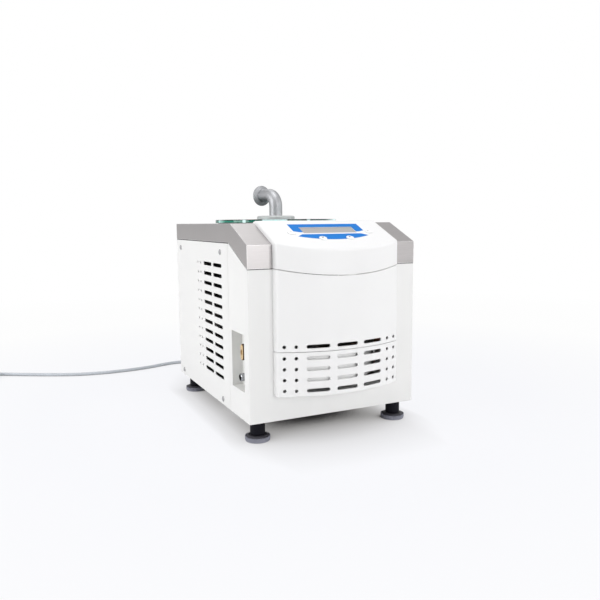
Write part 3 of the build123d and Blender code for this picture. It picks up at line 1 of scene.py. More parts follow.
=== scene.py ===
# %% [markdown]
# A benchtop freeze dryer stands on a pale bench: a sheet-metal housing with a bowed plastic
# front, a clear lid over its cold chamber and a steel elbow for the vacuum hose.
# The machine's metalwork comes packed from CAD, as a frame of bodies and joints. This script
# gives it finishes and adds the pieces that Blender makes better, all in the frame's metres.
# The frame is loaded first, and its box is kept, because nothing added here may outgrow it.

# %% Load the packed frame
import json
import math

import bmesh
import bpy
from mathutils import Matrix, Vector

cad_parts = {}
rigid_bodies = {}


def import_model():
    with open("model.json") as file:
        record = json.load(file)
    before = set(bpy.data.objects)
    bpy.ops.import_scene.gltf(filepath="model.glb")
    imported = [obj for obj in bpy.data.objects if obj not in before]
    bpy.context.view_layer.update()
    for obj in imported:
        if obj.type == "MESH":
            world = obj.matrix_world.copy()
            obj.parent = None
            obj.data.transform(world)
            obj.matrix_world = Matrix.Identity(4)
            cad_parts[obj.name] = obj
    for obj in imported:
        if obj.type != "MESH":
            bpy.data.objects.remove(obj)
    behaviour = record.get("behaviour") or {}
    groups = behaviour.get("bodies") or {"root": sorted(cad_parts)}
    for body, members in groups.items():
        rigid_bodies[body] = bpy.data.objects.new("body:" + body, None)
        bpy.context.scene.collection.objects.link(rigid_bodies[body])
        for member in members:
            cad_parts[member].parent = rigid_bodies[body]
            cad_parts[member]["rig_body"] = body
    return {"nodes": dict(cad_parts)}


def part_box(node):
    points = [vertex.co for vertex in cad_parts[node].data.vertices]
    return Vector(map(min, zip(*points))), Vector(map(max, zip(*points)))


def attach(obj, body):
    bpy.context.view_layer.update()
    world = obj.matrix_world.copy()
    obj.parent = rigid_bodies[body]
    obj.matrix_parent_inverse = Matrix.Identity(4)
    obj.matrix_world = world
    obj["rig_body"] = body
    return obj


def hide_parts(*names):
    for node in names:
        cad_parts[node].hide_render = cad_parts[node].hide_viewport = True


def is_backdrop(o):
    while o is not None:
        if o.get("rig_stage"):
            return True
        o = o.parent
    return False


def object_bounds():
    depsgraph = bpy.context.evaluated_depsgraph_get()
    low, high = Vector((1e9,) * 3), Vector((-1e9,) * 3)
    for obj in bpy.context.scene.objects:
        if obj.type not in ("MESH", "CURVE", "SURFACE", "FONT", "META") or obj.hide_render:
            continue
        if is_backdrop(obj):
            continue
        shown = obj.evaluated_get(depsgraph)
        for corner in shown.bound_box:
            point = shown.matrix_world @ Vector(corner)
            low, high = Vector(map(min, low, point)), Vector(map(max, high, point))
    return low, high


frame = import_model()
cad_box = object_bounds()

scene = bpy.context.scene
nodes = frame["nodes"]
mm = 0.001

# %% [markdown]
# A camera is placed as a photographer would place it: about a metre away, a little above the
# top plate and turned towards the louvred side, so that front, side and lid all show.
# The lens is a short normal one, and the camera leans by half a degree, as a hand-held one does.

# %% Place the camera
eye = Vector((-498.1, -1088.6, 353.6)) * mm
aim = Vector((33.3, 15.8, 201.45)) * mm
lean = math.radians(-0.485)
ahead = (aim - eye).normalized()
level_right = ahead.cross(Vector((0, 0, 1))).normalized()
level_up = level_right.cross(ahead)
right = math.cos(lean) * level_right + math.sin(lean) * level_up
up = math.cos(lean) * level_up - math.sin(lean) * level_right
camera = bpy.data.objects.new("camera", bpy.data.cameras.new("camera"))
camera.data.sensor_width = 36.0
camera.data.lens = 37.6
turned = Matrix((right, up, -ahead)).transposed().to_4x4()
camera.matrix_world = Matrix.Translation(eye) @ turned
scene.collection.objects.link(camera)
scene.camera = camera
print("camera", round((aim - eye).length, 3), "m from what it looks at")

# %% [markdown]
# Shader graphs are easier to read as sums than as boxes and wires. This class wraps one
# socket: adding or multiplying two of them adds a Math node, and one method makes any other
# node. The same class serves materials and Geometry Nodes, since both are node trees.

# %% A socket that does sums
X, Y, Z = range(3)


class Wire:
    """One output socket of a node tree. Arithmetic on it adds Math nodes."""

    def __init__(self, tree, socket=None):
        self.tree = tree
        self.socket = socket

    def node(self, kind, settings=None, inputs=None, out=0):
        made = self.tree.nodes.new(kind)
        for key, value in (settings or {}).items():
            setattr(made, key, value)
        for key, value in (inputs or {}).items():
            if isinstance(value, Wire):
                self.tree.links.new(value.socket, made.inputs[key])
            else:
                made.inputs[key].default_value = value
        return Wire(self.tree, made.outputs[out])

    def sum(self, operation, a, b=0.0, clamp=False):
        settings = {"operation": operation, "use_clamp": clamp}
        return self.node("ShaderNodeMath", settings, {0: a, 1: b})

    def __add__(self, other):
        return self.sum("ADD", self, other)

    __radd__ = __add__

    def __sub__(self, other):
        return self.sum("SUBTRACT", self, other)

    def __rsub__(self, other):
        return self.sum("SUBTRACT", other, self)

    def __mul__(self, other):
        return self.sum("MULTIPLY", self, other)

    __rmul__ = __mul__

    def __truediv__(self, other):
        return self.sum("DIVIDE", self, other)

    def size(self):
        return self.sum("ABSOLUTE", self)

    def power(self, exponent):
        return self.sum("POWER", self, exponent)

    def past(self, edge, soft):
        """0 before the edge, 1 past it, with a soft step between."""
        return self.sum("ADD", (self - edge) / soft, 0.5, clamp=True)

    def larger(self, other):
        return self.sum("MAXIMUM", self, other)

    def axis(self, number):
        """One part of a vector: X, Y or Z."""
        return self.node("ShaderNodeSeparateXYZ", {}, {0: self}, out=number)

    def vector(self, x=0.0, y=0.0, z=0.0):
        return self.node("ShaderNodeCombineXYZ", {}, {X: x, Y: y, Z: z})


print("operators", [name for name in vars(Wire) if name.startswith("__r")])

# %% [markdown]
# Every finish starts in the same way: a Principled shader whose fixed values sit on its own
# sockets, and a few helpers for what changes over a surface. Object coordinates are in metres,
# so a grain of half a millimetre is a noise of scale 2000.

# %% Helpers for finishes


def new_finish(name, **fixed):
    """A material, a Wire on its tree and its shader, with the fixed values set."""
    material = bpy.data.materials.new(name)
    material.use_nodes = True
    tree = material.node_tree
    tree.nodes.clear()
    shader = tree.nodes.new("ShaderNodeBsdfPrincipled")
    output = tree.nodes.new("ShaderNodeOutputMaterial")
    tree.links.new(shader.outputs["BSDF"], output.inputs["Surface"])
    for socket, value in fixed.items():
        if isinstance(value, tuple) and len(value) == 3:
            value = (*value, 1)
        shader.inputs[socket.replace("_", " ")].default_value = value
    return material, Wire(tree), shader


def feed(wire, shader, socket, value):
    wire.tree.links.new(value.socket, shader.inputs[socket])


def position(wire):
    """Where the shaded point lies, in metres."""
    return wire.node("ShaderNodeTexCoord", out="Object")


def normal(wire):
    """Which way the surface faces."""
    return wire.node("ShaderNodeNewGeometry", out="Normal")


def stretched(wire, stretch=(1, 1, 1)):
    """The position, with each axis scaled."""
    return wire.node("ShaderNodeMapping", {}, {"Vector": position(wire), "Scale": stretch})


def noise(wire, scale, detail=2.0, stretch=(1, 1, 1)):
    inputs = {"Vector": stretched(wire, stretch), "Scale": scale, "Detail": detail}
    return wire.node("ShaderNodeTexNoise", {}, inputs)


def centre_of(node):
    """The middle of a CAD node's box."""
    low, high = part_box(node)
    return (low + high) / 2


def blend_colours(wire, amount, first, second):
    inputs = {0: amount}
    for key, colour in ((6, first), (7, second)):
        inputs[key] = colour if isinstance(colour, Wire) else (*colour, 1)
    return wire.node("ShaderNodeMix", {"data_type": "RGBA"}, inputs, out=2)


def rounded_normal(wire, radius):
    return wire.node("ShaderNodeBevel", {"samples": 4}, {"Radius": radius})


def relief(wire, shader, height, depth, strength=1.0, rounded=0.0):
    """Bump of that depth in metres; rounded softens sharp edges by a small radius."""
    inputs = {"Height": height, "Distance": depth, "Strength": strength}
    if rounded:
        inputs["Normal"] = rounded_normal(wire, rounded)
    feed(wire, shader, "Normal", wire.node("ShaderNodeBump", {}, inputs))


def tinted(colour, change):
    """That colour, a little darker and a little lighter."""
    factors = (1 - change, 1 + change)
    return [tuple(min(1.0, part * factor) for part in colour) for factor in factors]


def plain_finish(
    name, colour, rough, grain=1500.0, depth=0.00005, mottle=0.04, rounded=0.0, **fixed
):
    """A moulded, painted or cast surface: faint mottle, fine grain, uneven gloss."""
    material, wire, shader = new_finish(name, **fixed)
    cloud = noise(wire, 14.0, 3.0)
    feed(wire, shader, "Base Color", blend_colours(wire, cloud, *tinted(colour, mottle)))
    fine = noise(wire, grain, 2.0)
    feed(wire, shader, "Roughness", rough + (fine - 0.5) * 0.16 + (cloud - 0.5) * 0.1)
    relief(wire, shader, fine, depth, 0.6, rounded)
    return material


finishes = {}
print("finish helpers ready")

# %% [markdown]
# The housing is folded steel with a white powder coat, which dries with a faint orange peel.
# The front, the hood and the grille are moulded in a slightly smoother white. Both get a small
# rounding in the shader, because no real fold or moulding has a perfectly sharp edge.

# %% White coat and white mouldings
finishes["powder_coat"] = plain_finish(
    "powder_coat", (0.83, 0.83, 0.826), 0.42, grain=1100.0, depth=0.00008, mottle=0.012,
    rounded=0.0008,
)
finishes["white_moulding"] = plain_finish(
    "white_moulding", (0.854, 0.854, 0.858), 0.36, grain=2400.0, depth=0.00003, mottle=0.01,
    rounded=0.0008,
)
finishes["recess_liner"] = plain_finish(
    "recess_liner", (0.80, 0.80, 0.785), 0.32, grain=1800.0, depth=0.00003, mottle=0.03
)
print("white finishes", len(finishes))

# %% [markdown]
# The top cover is bare stainless sheet with a brushed face. Brushing leaves scratches that
# run one way, so the noise is stretched: long along the sheet, a fraction of a millimetre
# across it. The lying face needs its own direction, picked by the surface's normal, and the
# folds of the cover get a painted highlight, a paler colour where a rounded normal leaves the flat
# one.

# %% Brushed and drawn metals


def brushed_finish(name, colour, rough, depth=0.00002, streak=0.10, rounded=0.0, **fixed):
    """Rolled metal with fine scratches along X and Y, across Z; rounded also paints a fold
    highlight.
    """
    material, wire, shader = new_finish(name, Metallic=1.0, **fixed)
    upright = noise(wire, 1.0, 3.0, stretch=(40, 55, 2600))
    lying = noise(wire, 1.0, 3.0, stretch=(40, 2600, 40))
    facing = normal(wire)
    flat = facing.axis(Z).size().past(0.97, 0.04)
    scratch = upright + (lying - upright) * flat
    cloud = noise(wire, 9.0, 2.0)
    tone = (scratch - 0.5) * 1.6 + cloud * 0.5 + 0.25
    body = blend_colours(wire, tone, *tinted(colour, streak))
    if rounded:
        # Painted highlight: a pale colour on folds, where the rounded normal leaves the flat one.
        inputs = {0: rounded_normal(wire, 2 * rounded), 1: facing}
        along = wire.node(
            "ShaderNodeVectorMath", {"operation": "DOT_PRODUCT"}, inputs, out="Value"
        )
        body = blend_colours(wire, (1 - along).past(0.04, 0.06), body, (0.93, 0.93, 0.93))
    feed(wire, shader, "Base Color", body)
    feed(wire, shader, "Roughness", rough + (scratch - 0.5) * 0.25)
    relief(wire, shader, scratch, depth, 0.5, rounded)
    return material


finishes["cover_steel"] = brushed_finish(
    "cover_steel", (0.43, 0.412, 0.412), 0.38, rounded=0.0006
)
finishes["stainless"] = brushed_finish("stainless", (0.375, 0.38, 0.393), 0.5, streak=0.05)
finishes["plated_steel"] = brushed_finish("plated_steel", (0.55, 0.55, 0.53), 0.35)
finishes["bright_aluminium"] = brushed_finish("bright_aluminium", (0.80, 0.80, 0.81), 0.28)
finishes["copper_pipe"] = plain_finish(
    "copper_pipe", (0.80, 0.40, 0.26), 0.28, grain=900.0, mottle=0.12, Metallic=1.0
)
finishes["polished_chrome"] = plain_finish(
    "polished_chrome", (0.40, 0.41, 0.43), 0.2, grain=2500.0, depth=0.000005, Metallic=1.0
)
print("metals", [name for name in finishes if "steel" in name or "copper" in name])

# %% [markdown]
# The tap's brass grip is polished on its face and hub, while its sides get a painted shade,
# dark brown where the grip does not face out. It shows rings round its axis, from a noise that
# is read along one line only: the distance from that axis, which the packed grip's box gives.
# The same distance finds the nozzle's end inside its bore, painted black as shade for the hole.

# %% Turned brass and chrome


def axis_distance(wire, node):
    """Distance from a CAD node's middle line, which runs along X."""
    middle = centre_of(node)
    here = position(wire)
    across, height = here.axis(Y) - middle.y, here.axis(Z) - middle.z
    return (across * across + height * height).power(0.5)


ring_pitch = 1800.0  # rings in a metre
hub_radius = 4.0 * mm  # polished right through
material, wire, shader = new_finish("turned_brass", Metallic=1.0)
from_axis = axis_distance(wire, "drain_knob")
inputs = {"Vector": wire.vector(from_axis * ring_pitch), "Scale": 1.0}
ring_noise = wire.node("ShaderNodeTexNoise", {}, inputs)
cloud = noise(wire, 60.0)
polished = blend_colours(wire, cloud, (0.70, 0.49, 0.24), (0.84, 0.63, 0.36))
outward = normal(wire).axis(X) * -1.0
face = outward.past(0.85, 0.2).larger(1 - from_axis.past(hub_radius, 0.5 * mm))
# The sides get a painted shade: dark brown wherever the grip does not face out.
feed(wire, shader, "Base Color", blend_colours(wire, face, (0.09, 0.045, 0.02), polished))
feed(wire, shader, "Roughness", 0.62 - face * 0.36 + (ring_noise - 0.5) * 0.2)
relief(wire, shader, ring_noise, 0.00003, 0.7)
finishes["turned_brass"] = material

bore_radius = 5.5 * mm
material, wire, shader = new_finish("nozzle_chrome")
# Inside the bore radius the nozzle is painted black, a painted shade for its hole.
outside = axis_distance(wire, "drain_nozzle").past(bore_radius, 0.1 * mm)
speckle = noise(wire, 900.0)
chrome = blend_colours(wire, speckle, (0.34, 0.35, 0.37), (0.46, 0.47, 0.49))
feed(wire, shader, "Base Color", blend_colours(wire, outside, (0.01, 0.01, 0.012), chrome))
feed(wire, shader, "Metallic", outside)
feed(wire, shader, "Roughness", 0.75 - outside * 0.58 + (speckle - 0.5) * 0.06)
finishes["nozzle_chrome"] = material
print("brass rings in a metre", ring_pitch, "nozzle bore", bore_radius)

# %% [markdown]
# The control face is a printed film on the sloping hood: two blue fields with a white sweep
# between them. Its print is drawn from two measures on the slope, sideways and up the slope,
# with straight edges that bend near the ends, as such films are cut.

# %% Printed film, display and board
slope_turn = math.atan(0.444)
slope_root_y = -170.0 * mm
film_bend = 55.0 * mm
film_upper = -1.4 * mm
film_lower = -8.8 * mm
edge_soft = 0.25 * mm
upper_rake, lower_rake = 0.38, 0.72  # how steeply the two edges run past the bend
material, wire, shader = new_finish("panel_film", Specular_IOR_Level=0.06)
here = position(wire)
uphill = (here.axis(Y) - slope_root_y) / math.cos(slope_turn)
beyond = (here.axis(X).size() - film_bend).larger(0.0)
upper_field = (uphill - beyond * upper_rake).past(film_upper, edge_soft)
lower_field = (uphill * -1.0 - beyond * lower_rake).past(-film_lower, edge_soft)
blue_mask = upper_field.larger(lower_field)
cloud = noise(wire, 25.0)
blue = blend_colours(wire, cloud, (0.008, 0.175, 0.58), (0.013, 0.20, 0.64))
feed(wire, shader, "Base Color", blend_colours(wire, blue_mask, (0.88, 0.88, 0.885), blue))
feed(wire, shader, "Roughness", 0.42 + (noise(wire, 1800.0) - 0.5) * 0.12)
relief(wire, shader, noise(wire, 2600.0), 0.00002, 0.5)
finishes["panel_film"] = material

cell_rate = 5200.0  # radians in a metre, for cells of 1.2 mm
material, wire, shader = new_finish("display_window", Coat_Weight=0.15, Coat_Roughness=0.1)
here = position(wire)
sideways, uphill = here.axis(X), here.axis(Y) - slope_root_y
cells = wire.sum("SINE", sideways * cell_rate) * wire.sum("SINE", uphill * cell_rate)
# Painted glow: the pane's colour shifts sideways and uphill, standing in for light on the screen.
warm = blend_colours(wire, sideways * 6.0 + 0.5, (0.42, 0.37, 0.35), (0.36, 0.39, 0.37))
painted_glow = blend_colours(wire, uphill * 30.0 + 0.35, (0.40, 0.37, 0.38), warm)
pane = blend_colours(wire, cells * 0.08 + 0.06, painted_glow, (0.26, 0.27, 0.27))
feed(wire, shader, "Base Color", pane)
feed(wire, shader, "Roughness", 0.3 + (noise(wire, 300.0) - 0.5) * 0.1)
finishes["display_window"] = material

material, wire, shader = new_finish("circuit_board")
inputs = {0: stretched(wire), 2: 240.0}
mask = wire.node("ShaderNodeTexVoronoi", {"distance": "MANHATTAN"}, inputs).past(0.42, 0.05)
greens = blend_colours(wire, mask, (0.02, 0.13, 0.06), (0.05, 0.22, 0.10))
feed(wire, shader, "Base Color", greens)
feed(wire, shader, "Roughness", 0.35 + mask * 0.15)
finishes["circuit_board"] = material
print("slope of the panel", round(math.degrees(slope_turn), 1), "degrees")

# %% [markdown]
# Four white keys stand in the film. The two lower ones carry a small arrow and the two at the
# ends a dot, all of them plain signs. Each is a printed mask, worked out from the distances
# sideways and uphill from the key's own middle.

# %% Printed keys


def key_finish(node, sign):
    """A white key cap; sign 1 points uphill, -1 downhill and 0 is a dot."""
    middle = centre_of(node)
    material, wire, shader = new_finish(node + "_cap")
    here = position(wire)
    across = (here.axis(X) - middle.x).size()
    rise = (here.axis(Y) - middle.y) / math.cos(slope_turn)
    if sign:
        reach = 2.2 * mm
        taper = (reach - rise * sign) * 0.75 - across
        ink = taper.past(0.0, 0.2 * mm) * (rise * sign).past(-reach * 0.6, 0.2 * mm)
        tone = (0.04, 0.05, 0.09)
    else:
        distance = (across * across + rise * rise).power(0.5)
        ink = 1 - distance.past(1.3 * mm, 0.3 * mm)
        tone = (0.38, 0.38, 0.38)
    cloud = noise(wire, 220.0)
    cap = blend_colours(wire, cloud, (0.85, 0.85, 0.855), (0.89, 0.89, 0.895))
    feed(wire, shader, "Base Color", blend_colours(wire, ink, cap, tone))
    feed(wire, shader, "Roughness", 0.38 + (cloud - 0.5) * 0.12 + ink * 0.1)
    relief(wire, shader, noise(wire, 3000.0), 0.00002, 0.5, 0.0003)
    return material


key_signs = {"key_left": 0, "key_down": -1, "key_up": 1, "key_right": 0}
for node, sign in key_signs.items():
    finishes[node + "_cap"] = key_finish(node, sign)
print("key caps", len(key_signs))

# %% [markdown]
# The lid is a thick disc of clear acrylic. Seen through its thickness it is nearly colourless,
# but light that runs inside it from edge to edge crosses a lot of plastic and comes out green.
# Glass with absorption inside does most of that by itself. Round the edge the colour carries a
# painted shade, darkest at the front, and the edge gets painted glints: a pale glow in a few
# places round it, set as a little light of its own.

# %% Clear acrylic and rubber
# Where round the lid's edge the painted shade is darkest, and how far it reaches.
painted_shade_middle, painted_shade_reach = math.radians(-92.0), math.radians(66.0)  # round the lid, -90 in front
# Painted glints on the edge: angle round the lid and half width of each.
broad_glint, narrow = math.radians(-114.7), math.radians(1.6)
glints = [
    (math.radians(-142.7), narrow),
    (broad_glint, math.radians(11.0)),
    (math.radians(-83.5), narrow),
]


def rim_tone(wire, node):
    """Colour and painted glow of a disc: deep green edge, painted shade darkest in front, painted
    glints.
    """
    middle = centre_of(node)
    here = position(wire)
    angle = wire.sum("ARCTAN2", here.axis(Y) - middle.y, here.axis(X) - middle.x)
    edge = 1 - normal(wire).axis(Z).size().past(0.75, 0.2)
    off_front = (angle - painted_shade_middle).size() / painted_shade_reach
    tone = blend_colours(wire, off_front.power(1.5), (0.0, 0.20, 0.19), (0.01, 0.62, 0.57))
    off_middle = (angle - broad_glint).size()
    painted_glow = off_middle.past(math.radians(60), 0.3) - off_middle.past(math.radians(80), 0.2)
    for glint, reach in glints:
        near = 1 - (angle - glint).size().past(reach, 0.02)
        painted_glow = painted_glow.larger(near)
    painted_glints = blend_colours(wire, painted_glow * edge, (0.0, 0.0, 0.0), (0.58, 0.72, 0.73))
    return blend_colours(wire, edge, (1.0, 1.0, 1.0), tone), painted_glints


def acrylic(name, tint, density, rough, node=None, **fixed):
    material, wire, shader = new_finish(name, IOR=1.49, **fixed)
    smear = noise(wire, 35.0, 3.0)
    feed(wire, shader, "Roughness", rough + smear * 0.02)
    if node:
        tone, painted_glints = rim_tone(wire, node)
        feed(wire, shader, "Base Color", tone)
        # The painted glints are the edge's own light, fed to Emission Color.
        feed(wire, shader, "Emission Color", painted_glints)
    else:
        clouded = blend_colours(wire, smear, (0.90, 0.92, 0.92), (0.95, 0.97, 0.97))
        feed(wire, shader, "Base Color", clouded)
    relief(wire, shader, noise(wire, 12.0), 0.0002, 0.25)
    volume = wire.tree.nodes.new("ShaderNodeVolumeAbsorption")
    volume.inputs["Color"].default_value = (*tint, 1)
    volume.inputs["Density"].default_value = density
    output = wire.tree.get_output_node("ALL")
    wire.tree.links.new(volume.outputs[0], output.inputs["Volume"])
    return material


finishes["lid_acrylic"] = acrylic(
    "lid_acrylic", (0.0, 0.80, 0.74), 26.0, 0.0, "lid_plate", Transmission_Weight=1.0,
    Specular_IOR_Level=0.15, Emission_Strength=1.0,
)
finishes["boss_acrylic"] = acrylic(
    "boss_acrylic", (0.75, 0.96, 0.95), 4.0, 0.3, Transmission_Weight=0.45
)
finishes["seal_rubber"] = plain_finish("seal_rubber", (0.03, 0.03, 0.03), 0.6, grain=1200.0)
finishes["milky_hose"] = plain_finish(
    "milky_hose", (0.62, 0.62, 0.57), 0.35, grain=600.0, Subsurface_Weight=0.2
)
finishes["jacket_foam"] = plain_finish(
    "jacket_foam", (0.018, 0.018, 0.02), 0.85, grain=350.0, depth=0.0008, mottle=0.15
)
print("clear finishes ready")

# %% [markdown]
# The rest of the machine is plain: black paint on the compressor, black mouldings, near-black
# sleeves on grey foot pads, and a grey cord whose sheath has a soft satin skin.

# %% Dark and grey finishes
finishes["compressor_paint"] = plain_finish(
    "compressor_paint", (0.018, 0.018, 0.02), 0.3, grain=500.0, depth=0.0002, mottle=0.2
)
finishes["black_moulding"] = plain_finish(
    "black_moulding", (0.022, 0.022, 0.024), 0.42, grain=1400.0, depth=0.00008, mottle=0.1
)
finishes["rocker_red"] = plain_finish("rocker_red", (0.45, 0.015, 0.015), 0.25, grain=2500.0)
finishes["sleeve_black"] = plain_finish(
    "sleeve_black", (0.006, 0.006, 0.010), 0.6, grain=1100.0, mottle=0.15, rounded=0.0006,
    Specular_IOR_Level=0.12,
)
finishes["cord_grey"] = plain_finish(
    "cord_grey", (0.50, 0.53, 0.57), 0.5, grain=1600.0, depth=0.00008, mottle=0.08
)
finishes["screw_steel"] = plain_finish(
    "screw_steel", (0.36, 0.36, 0.37), 0.42, grain=2500.0, depth=0.000005, Metallic=0.5
)
# The base tray is near black, a painted shade: it keeps the bench under the machine dark.
finishes["underside"] = plain_finish("underside", (0.03, 0.03, 0.035), 0.6, mottle=0.1)

material, wire, shader = new_finish("pad_grey", Specular_IOR_Level=0.3)
upper_face = normal(wire).axis(Z).past(0.75, 0.2)
cloud = noise(wire, 90.0, 3.0)
rim = blend_colours(wire, cloud, (0.24, 0.245, 0.295), (0.31, 0.315, 0.375))
feed(wire, shader, "Base Color", blend_colours(wire, upper_face, rim, (0.048, 0.046, 0.054)))
feed(wire, shader, "Roughness", 0.55 + (cloud - 0.5) * 0.2)
relief(wire, shader, noise(wire, 900.0), 0.0001, 0.6, 0.0005)
finishes["pad_grey"] = material
print("finishes", len(finishes))

# %% [markdown]
# Each CAD piece whose shape is already right keeps its mesh and only gets its finish.
# A dictionary from finish to pieces keeps that readable, and a check finds any left bare.

# %% Finish the CAD pieces
finish_of = {
    "powder_coat": "front_frame left_side_panel right_side_panel rear_panel",
    "underside": "base_tray",
    "white_moulding": "control_hood front_cover front_grille",
    "recess_liner": "valve_recess",
    "key_left_cap": "key_left",
    "key_down_cap": "key_down",
    "key_up_cap": "key_up",
    "key_right_cap": "key_right",
    "cover_steel": "top_cover",
    "stainless": "vacuum_elbow chamber_pot evaporator_coil",
    "plated_steel": "chassis_rails fan_motor foot_nuts panel_screws",
    "bright_aluminium": "condenser_fins condenser_frame power_supply",
    "copper_pipe": "condenser_tube filter_drier discharge_line suction_line liquid_line "
    "capillary_tube",
    "turned_brass": "drain_knob drain_valve_body",
    "nozzle_chrome": "drain_nozzle",
    "panel_film": "keypad_overlay",
    "display_window": "display_module",
    "circuit_board": "control_board",
    "lid_acrylic": "lid_plate",
    "boss_acrylic": "lid_boss",
    "seal_rubber": "lid_gasket elbow_seal compressor_grommets",
    "milky_hose": "drain_hose",
    "jacket_foam": "insulation_jacket",
    "compressor_paint": "compressor",
    "black_moulding": "fan_shroud fan_blade wiring_loom cable_gland fuse_holder switch_frame",
    "rocker_red": "switch_rocker",
    "sleeve_black": "foot_sleeves",
    "pad_grey": "foot_front_left foot_rear_left foot_front_right foot_rear_right",
    "cord_grey": "strain_relief mains_cord cord_coil mains_plug",
}
finished = set()
for finish, names in finish_of.items():
    for name in names.split():
        slots = nodes[name].data.materials
        slots.clear()
        slots.append(finishes[finish])
        finished.add(name)
print("CAD pieces left bare:", sorted(set(nodes) - finished))

# %% [markdown]
# Screws, ribs, barbs and the cooling coil are all one small shape repeated or carried along a
# path, which is what Geometry Nodes are for. A tree starts with named sizes, and its result is
# kept as a plain mesh, so the finished piece has no live modifier.

# %% Helpers for grown pieces


def new_tree(name, **sizes):
    """A Geometry Nodes tree: a Wire on it, its Geometry input and its named sizes as Wires."""
    tree = bpy.data.node_groups.new(name, "GeometryNodeTree")
    face = tree.interface
    face.new_socket("Geometry", in_out="INPUT", socket_type="NodeSocketGeometry")
    for size, value in sizes.items():
        kind = "NodeSocketInt" if isinstance(value, int) else "NodeSocketFloat"
        face.new_socket(size, in_out="INPUT", socket_type=kind).default_value = value
    face.new_socket("Material", in_out="INPUT", socket_type="NodeSocketMaterial")
    face.new_socket("Geometry", in_out="OUTPUT", socket_type="NodeSocketGeometry")
    entry = tree.nodes.new("NodeGroupInput")
    return Wire(tree), {socket.name: Wire(tree, socket) for socket in entry.outputs if socket.name}


def close_tree(wire, shape, material, sharp=0.6):
    """Ends a tree: real geometry, smooth but for edges sharper than that angle, one finish."""
    real = wire.node("GeometryNodeRealizeInstances", {}, {0: shape})
    smooth = wire.node("GeometryNodeSetShadeSmooth", {}, {0: real, "Shade Smooth": True})
    turn = wire.node("GeometryNodeInputMeshEdgeAngle")
    edge = wire.node("FunctionNodeCompare", {"operation": "GREATER_THAN"}, {0: turn, 1: sharp})
    inputs = {0: smooth, "Selection": edge, "Shade Smooth": False}
    creased = wire.node("GeometryNodeSetShadeSmooth", {"domain": "EDGE"}, inputs)
    painted = wire.node("GeometryNodeSetMaterial", {}, {0: creased, "Material": material})
    output = wire.tree.nodes.new("NodeGroupOutput")
    wire.tree.links.new(painted.socket, output.inputs[0])


def start_points(name, places, edges=(), **vectors):
    """Bare points, or a path with edges, with a vector attribute for each name."""
    mesh = bpy.data.meshes.new(name)
    mesh.from_pydata([tuple(place) for place in places], list(edges), [])
    for key, values in vectors.items():
        attribute = mesh.attributes.new(key, "FLOAT_VECTOR", "POINT")
        for slot, value in zip(attribute.data, values):
            slot.vector = value
    return mesh


def ride_piece(name, mesh, body):
    """An object for a mesh whose place is already in its points, riding a body."""
    piece = bpy.data.objects.new(name, mesh)
    scene.collection.objects.link(piece)
    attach(piece, body)
    return piece


def sample_start(wire, size):
    """The place of a tree's first start point."""
    here = wire.node("GeometryNodeInputPosition")
    inputs = {0: size["Geometry"], 1: here}
    return wire.node("GeometryNodeSampleIndex", {"data_type": "FLOAT_VECTOR"}, inputs)


def grow(name, wire, start, finish, body, **values):
    """Runs a tree on a start mesh and keeps the result as a plain mesh that rides a body."""
    seed = bpy.data.objects.new(name + "_start", start)
    scene.collection.objects.link(seed)
    modifier = seed.modifiers.new("grow", "NODES")
    modifier.node_group = wire.tree
    values["Material"] = finishes[finish]
    for item in wire.tree.interface.items_tree:
        if item.in_out == "INPUT" and item.name in values:
            modifier[item.identifier] = values[item.name]
    bpy.context.view_layer.update()
    graph = bpy.context.evaluated_depsgraph_get()
    made = bpy.data.meshes.new_from_object(seed.evaluated_get(graph), depsgraph=graph)
    if made.materials[0] is None:  # the bare start mesh leaves an empty slot
        made.materials.pop(index=0)
    seed.modifiers.remove(modifier)
    bpy.data.objects.remove(seed)
    piece = ride_piece(name, made, body)
    print(name, len(made.polygons), "faces on", body)
    return piece


print("grown piece helpers ready")

# %% [markdown]
# The panels are held by pan-head screws with a cross recess. Their places are not typed again:
# the packed screws are taken apart into solids, and each solid's box says where it sits and
# which way it faces. The heads turn by chance, as a fitter leaves them, with a fixed seed.

# %% Places of the screws
screw_head = 2.2 * mm


def solids(node):
    """The lowest and highest corner of each separate solid of a CAD node, in order of place."""
    work = bmesh.new()
    work.from_mesh(nodes[node].data)
    bmesh.ops.remove_doubles(work, verts=work.verts, dist=1e-6)
    left = set(work.verts)
    boxes = []
    while left:
        group = [left.pop()]
        for vert in group:
            near = [edge.other_vert(vert) for edge in vert.link_edges]
            for other in near:
                if other in left:
                    left.discard(other)
                    group.append(other)
        spans = [sorted(vert.co[axis] for vert in group) for axis in range(3)]
        boxes.append((Vector([s[0] for s in spans]), Vector([s[-1] for s in spans])))
    work.free()
    return sorted(boxes, key=lambda box: [round(part, 3) for part in box[0]])


seats, facings = [], []
for low, high in solids("panel_screws"):
    middle, extent = (low + high) / 2, high - low
    if extent.x < extent.y:
        facing = Vector((math.copysign(1, middle.x), 0, 0))
    else:
        facing = Vector((0, 1, 0))
    reach = abs(extent.dot(facing)) / 2 - screw_head
    seats.append(middle + reach * facing)
    facings.append(facing)
print("screws", len(seats))

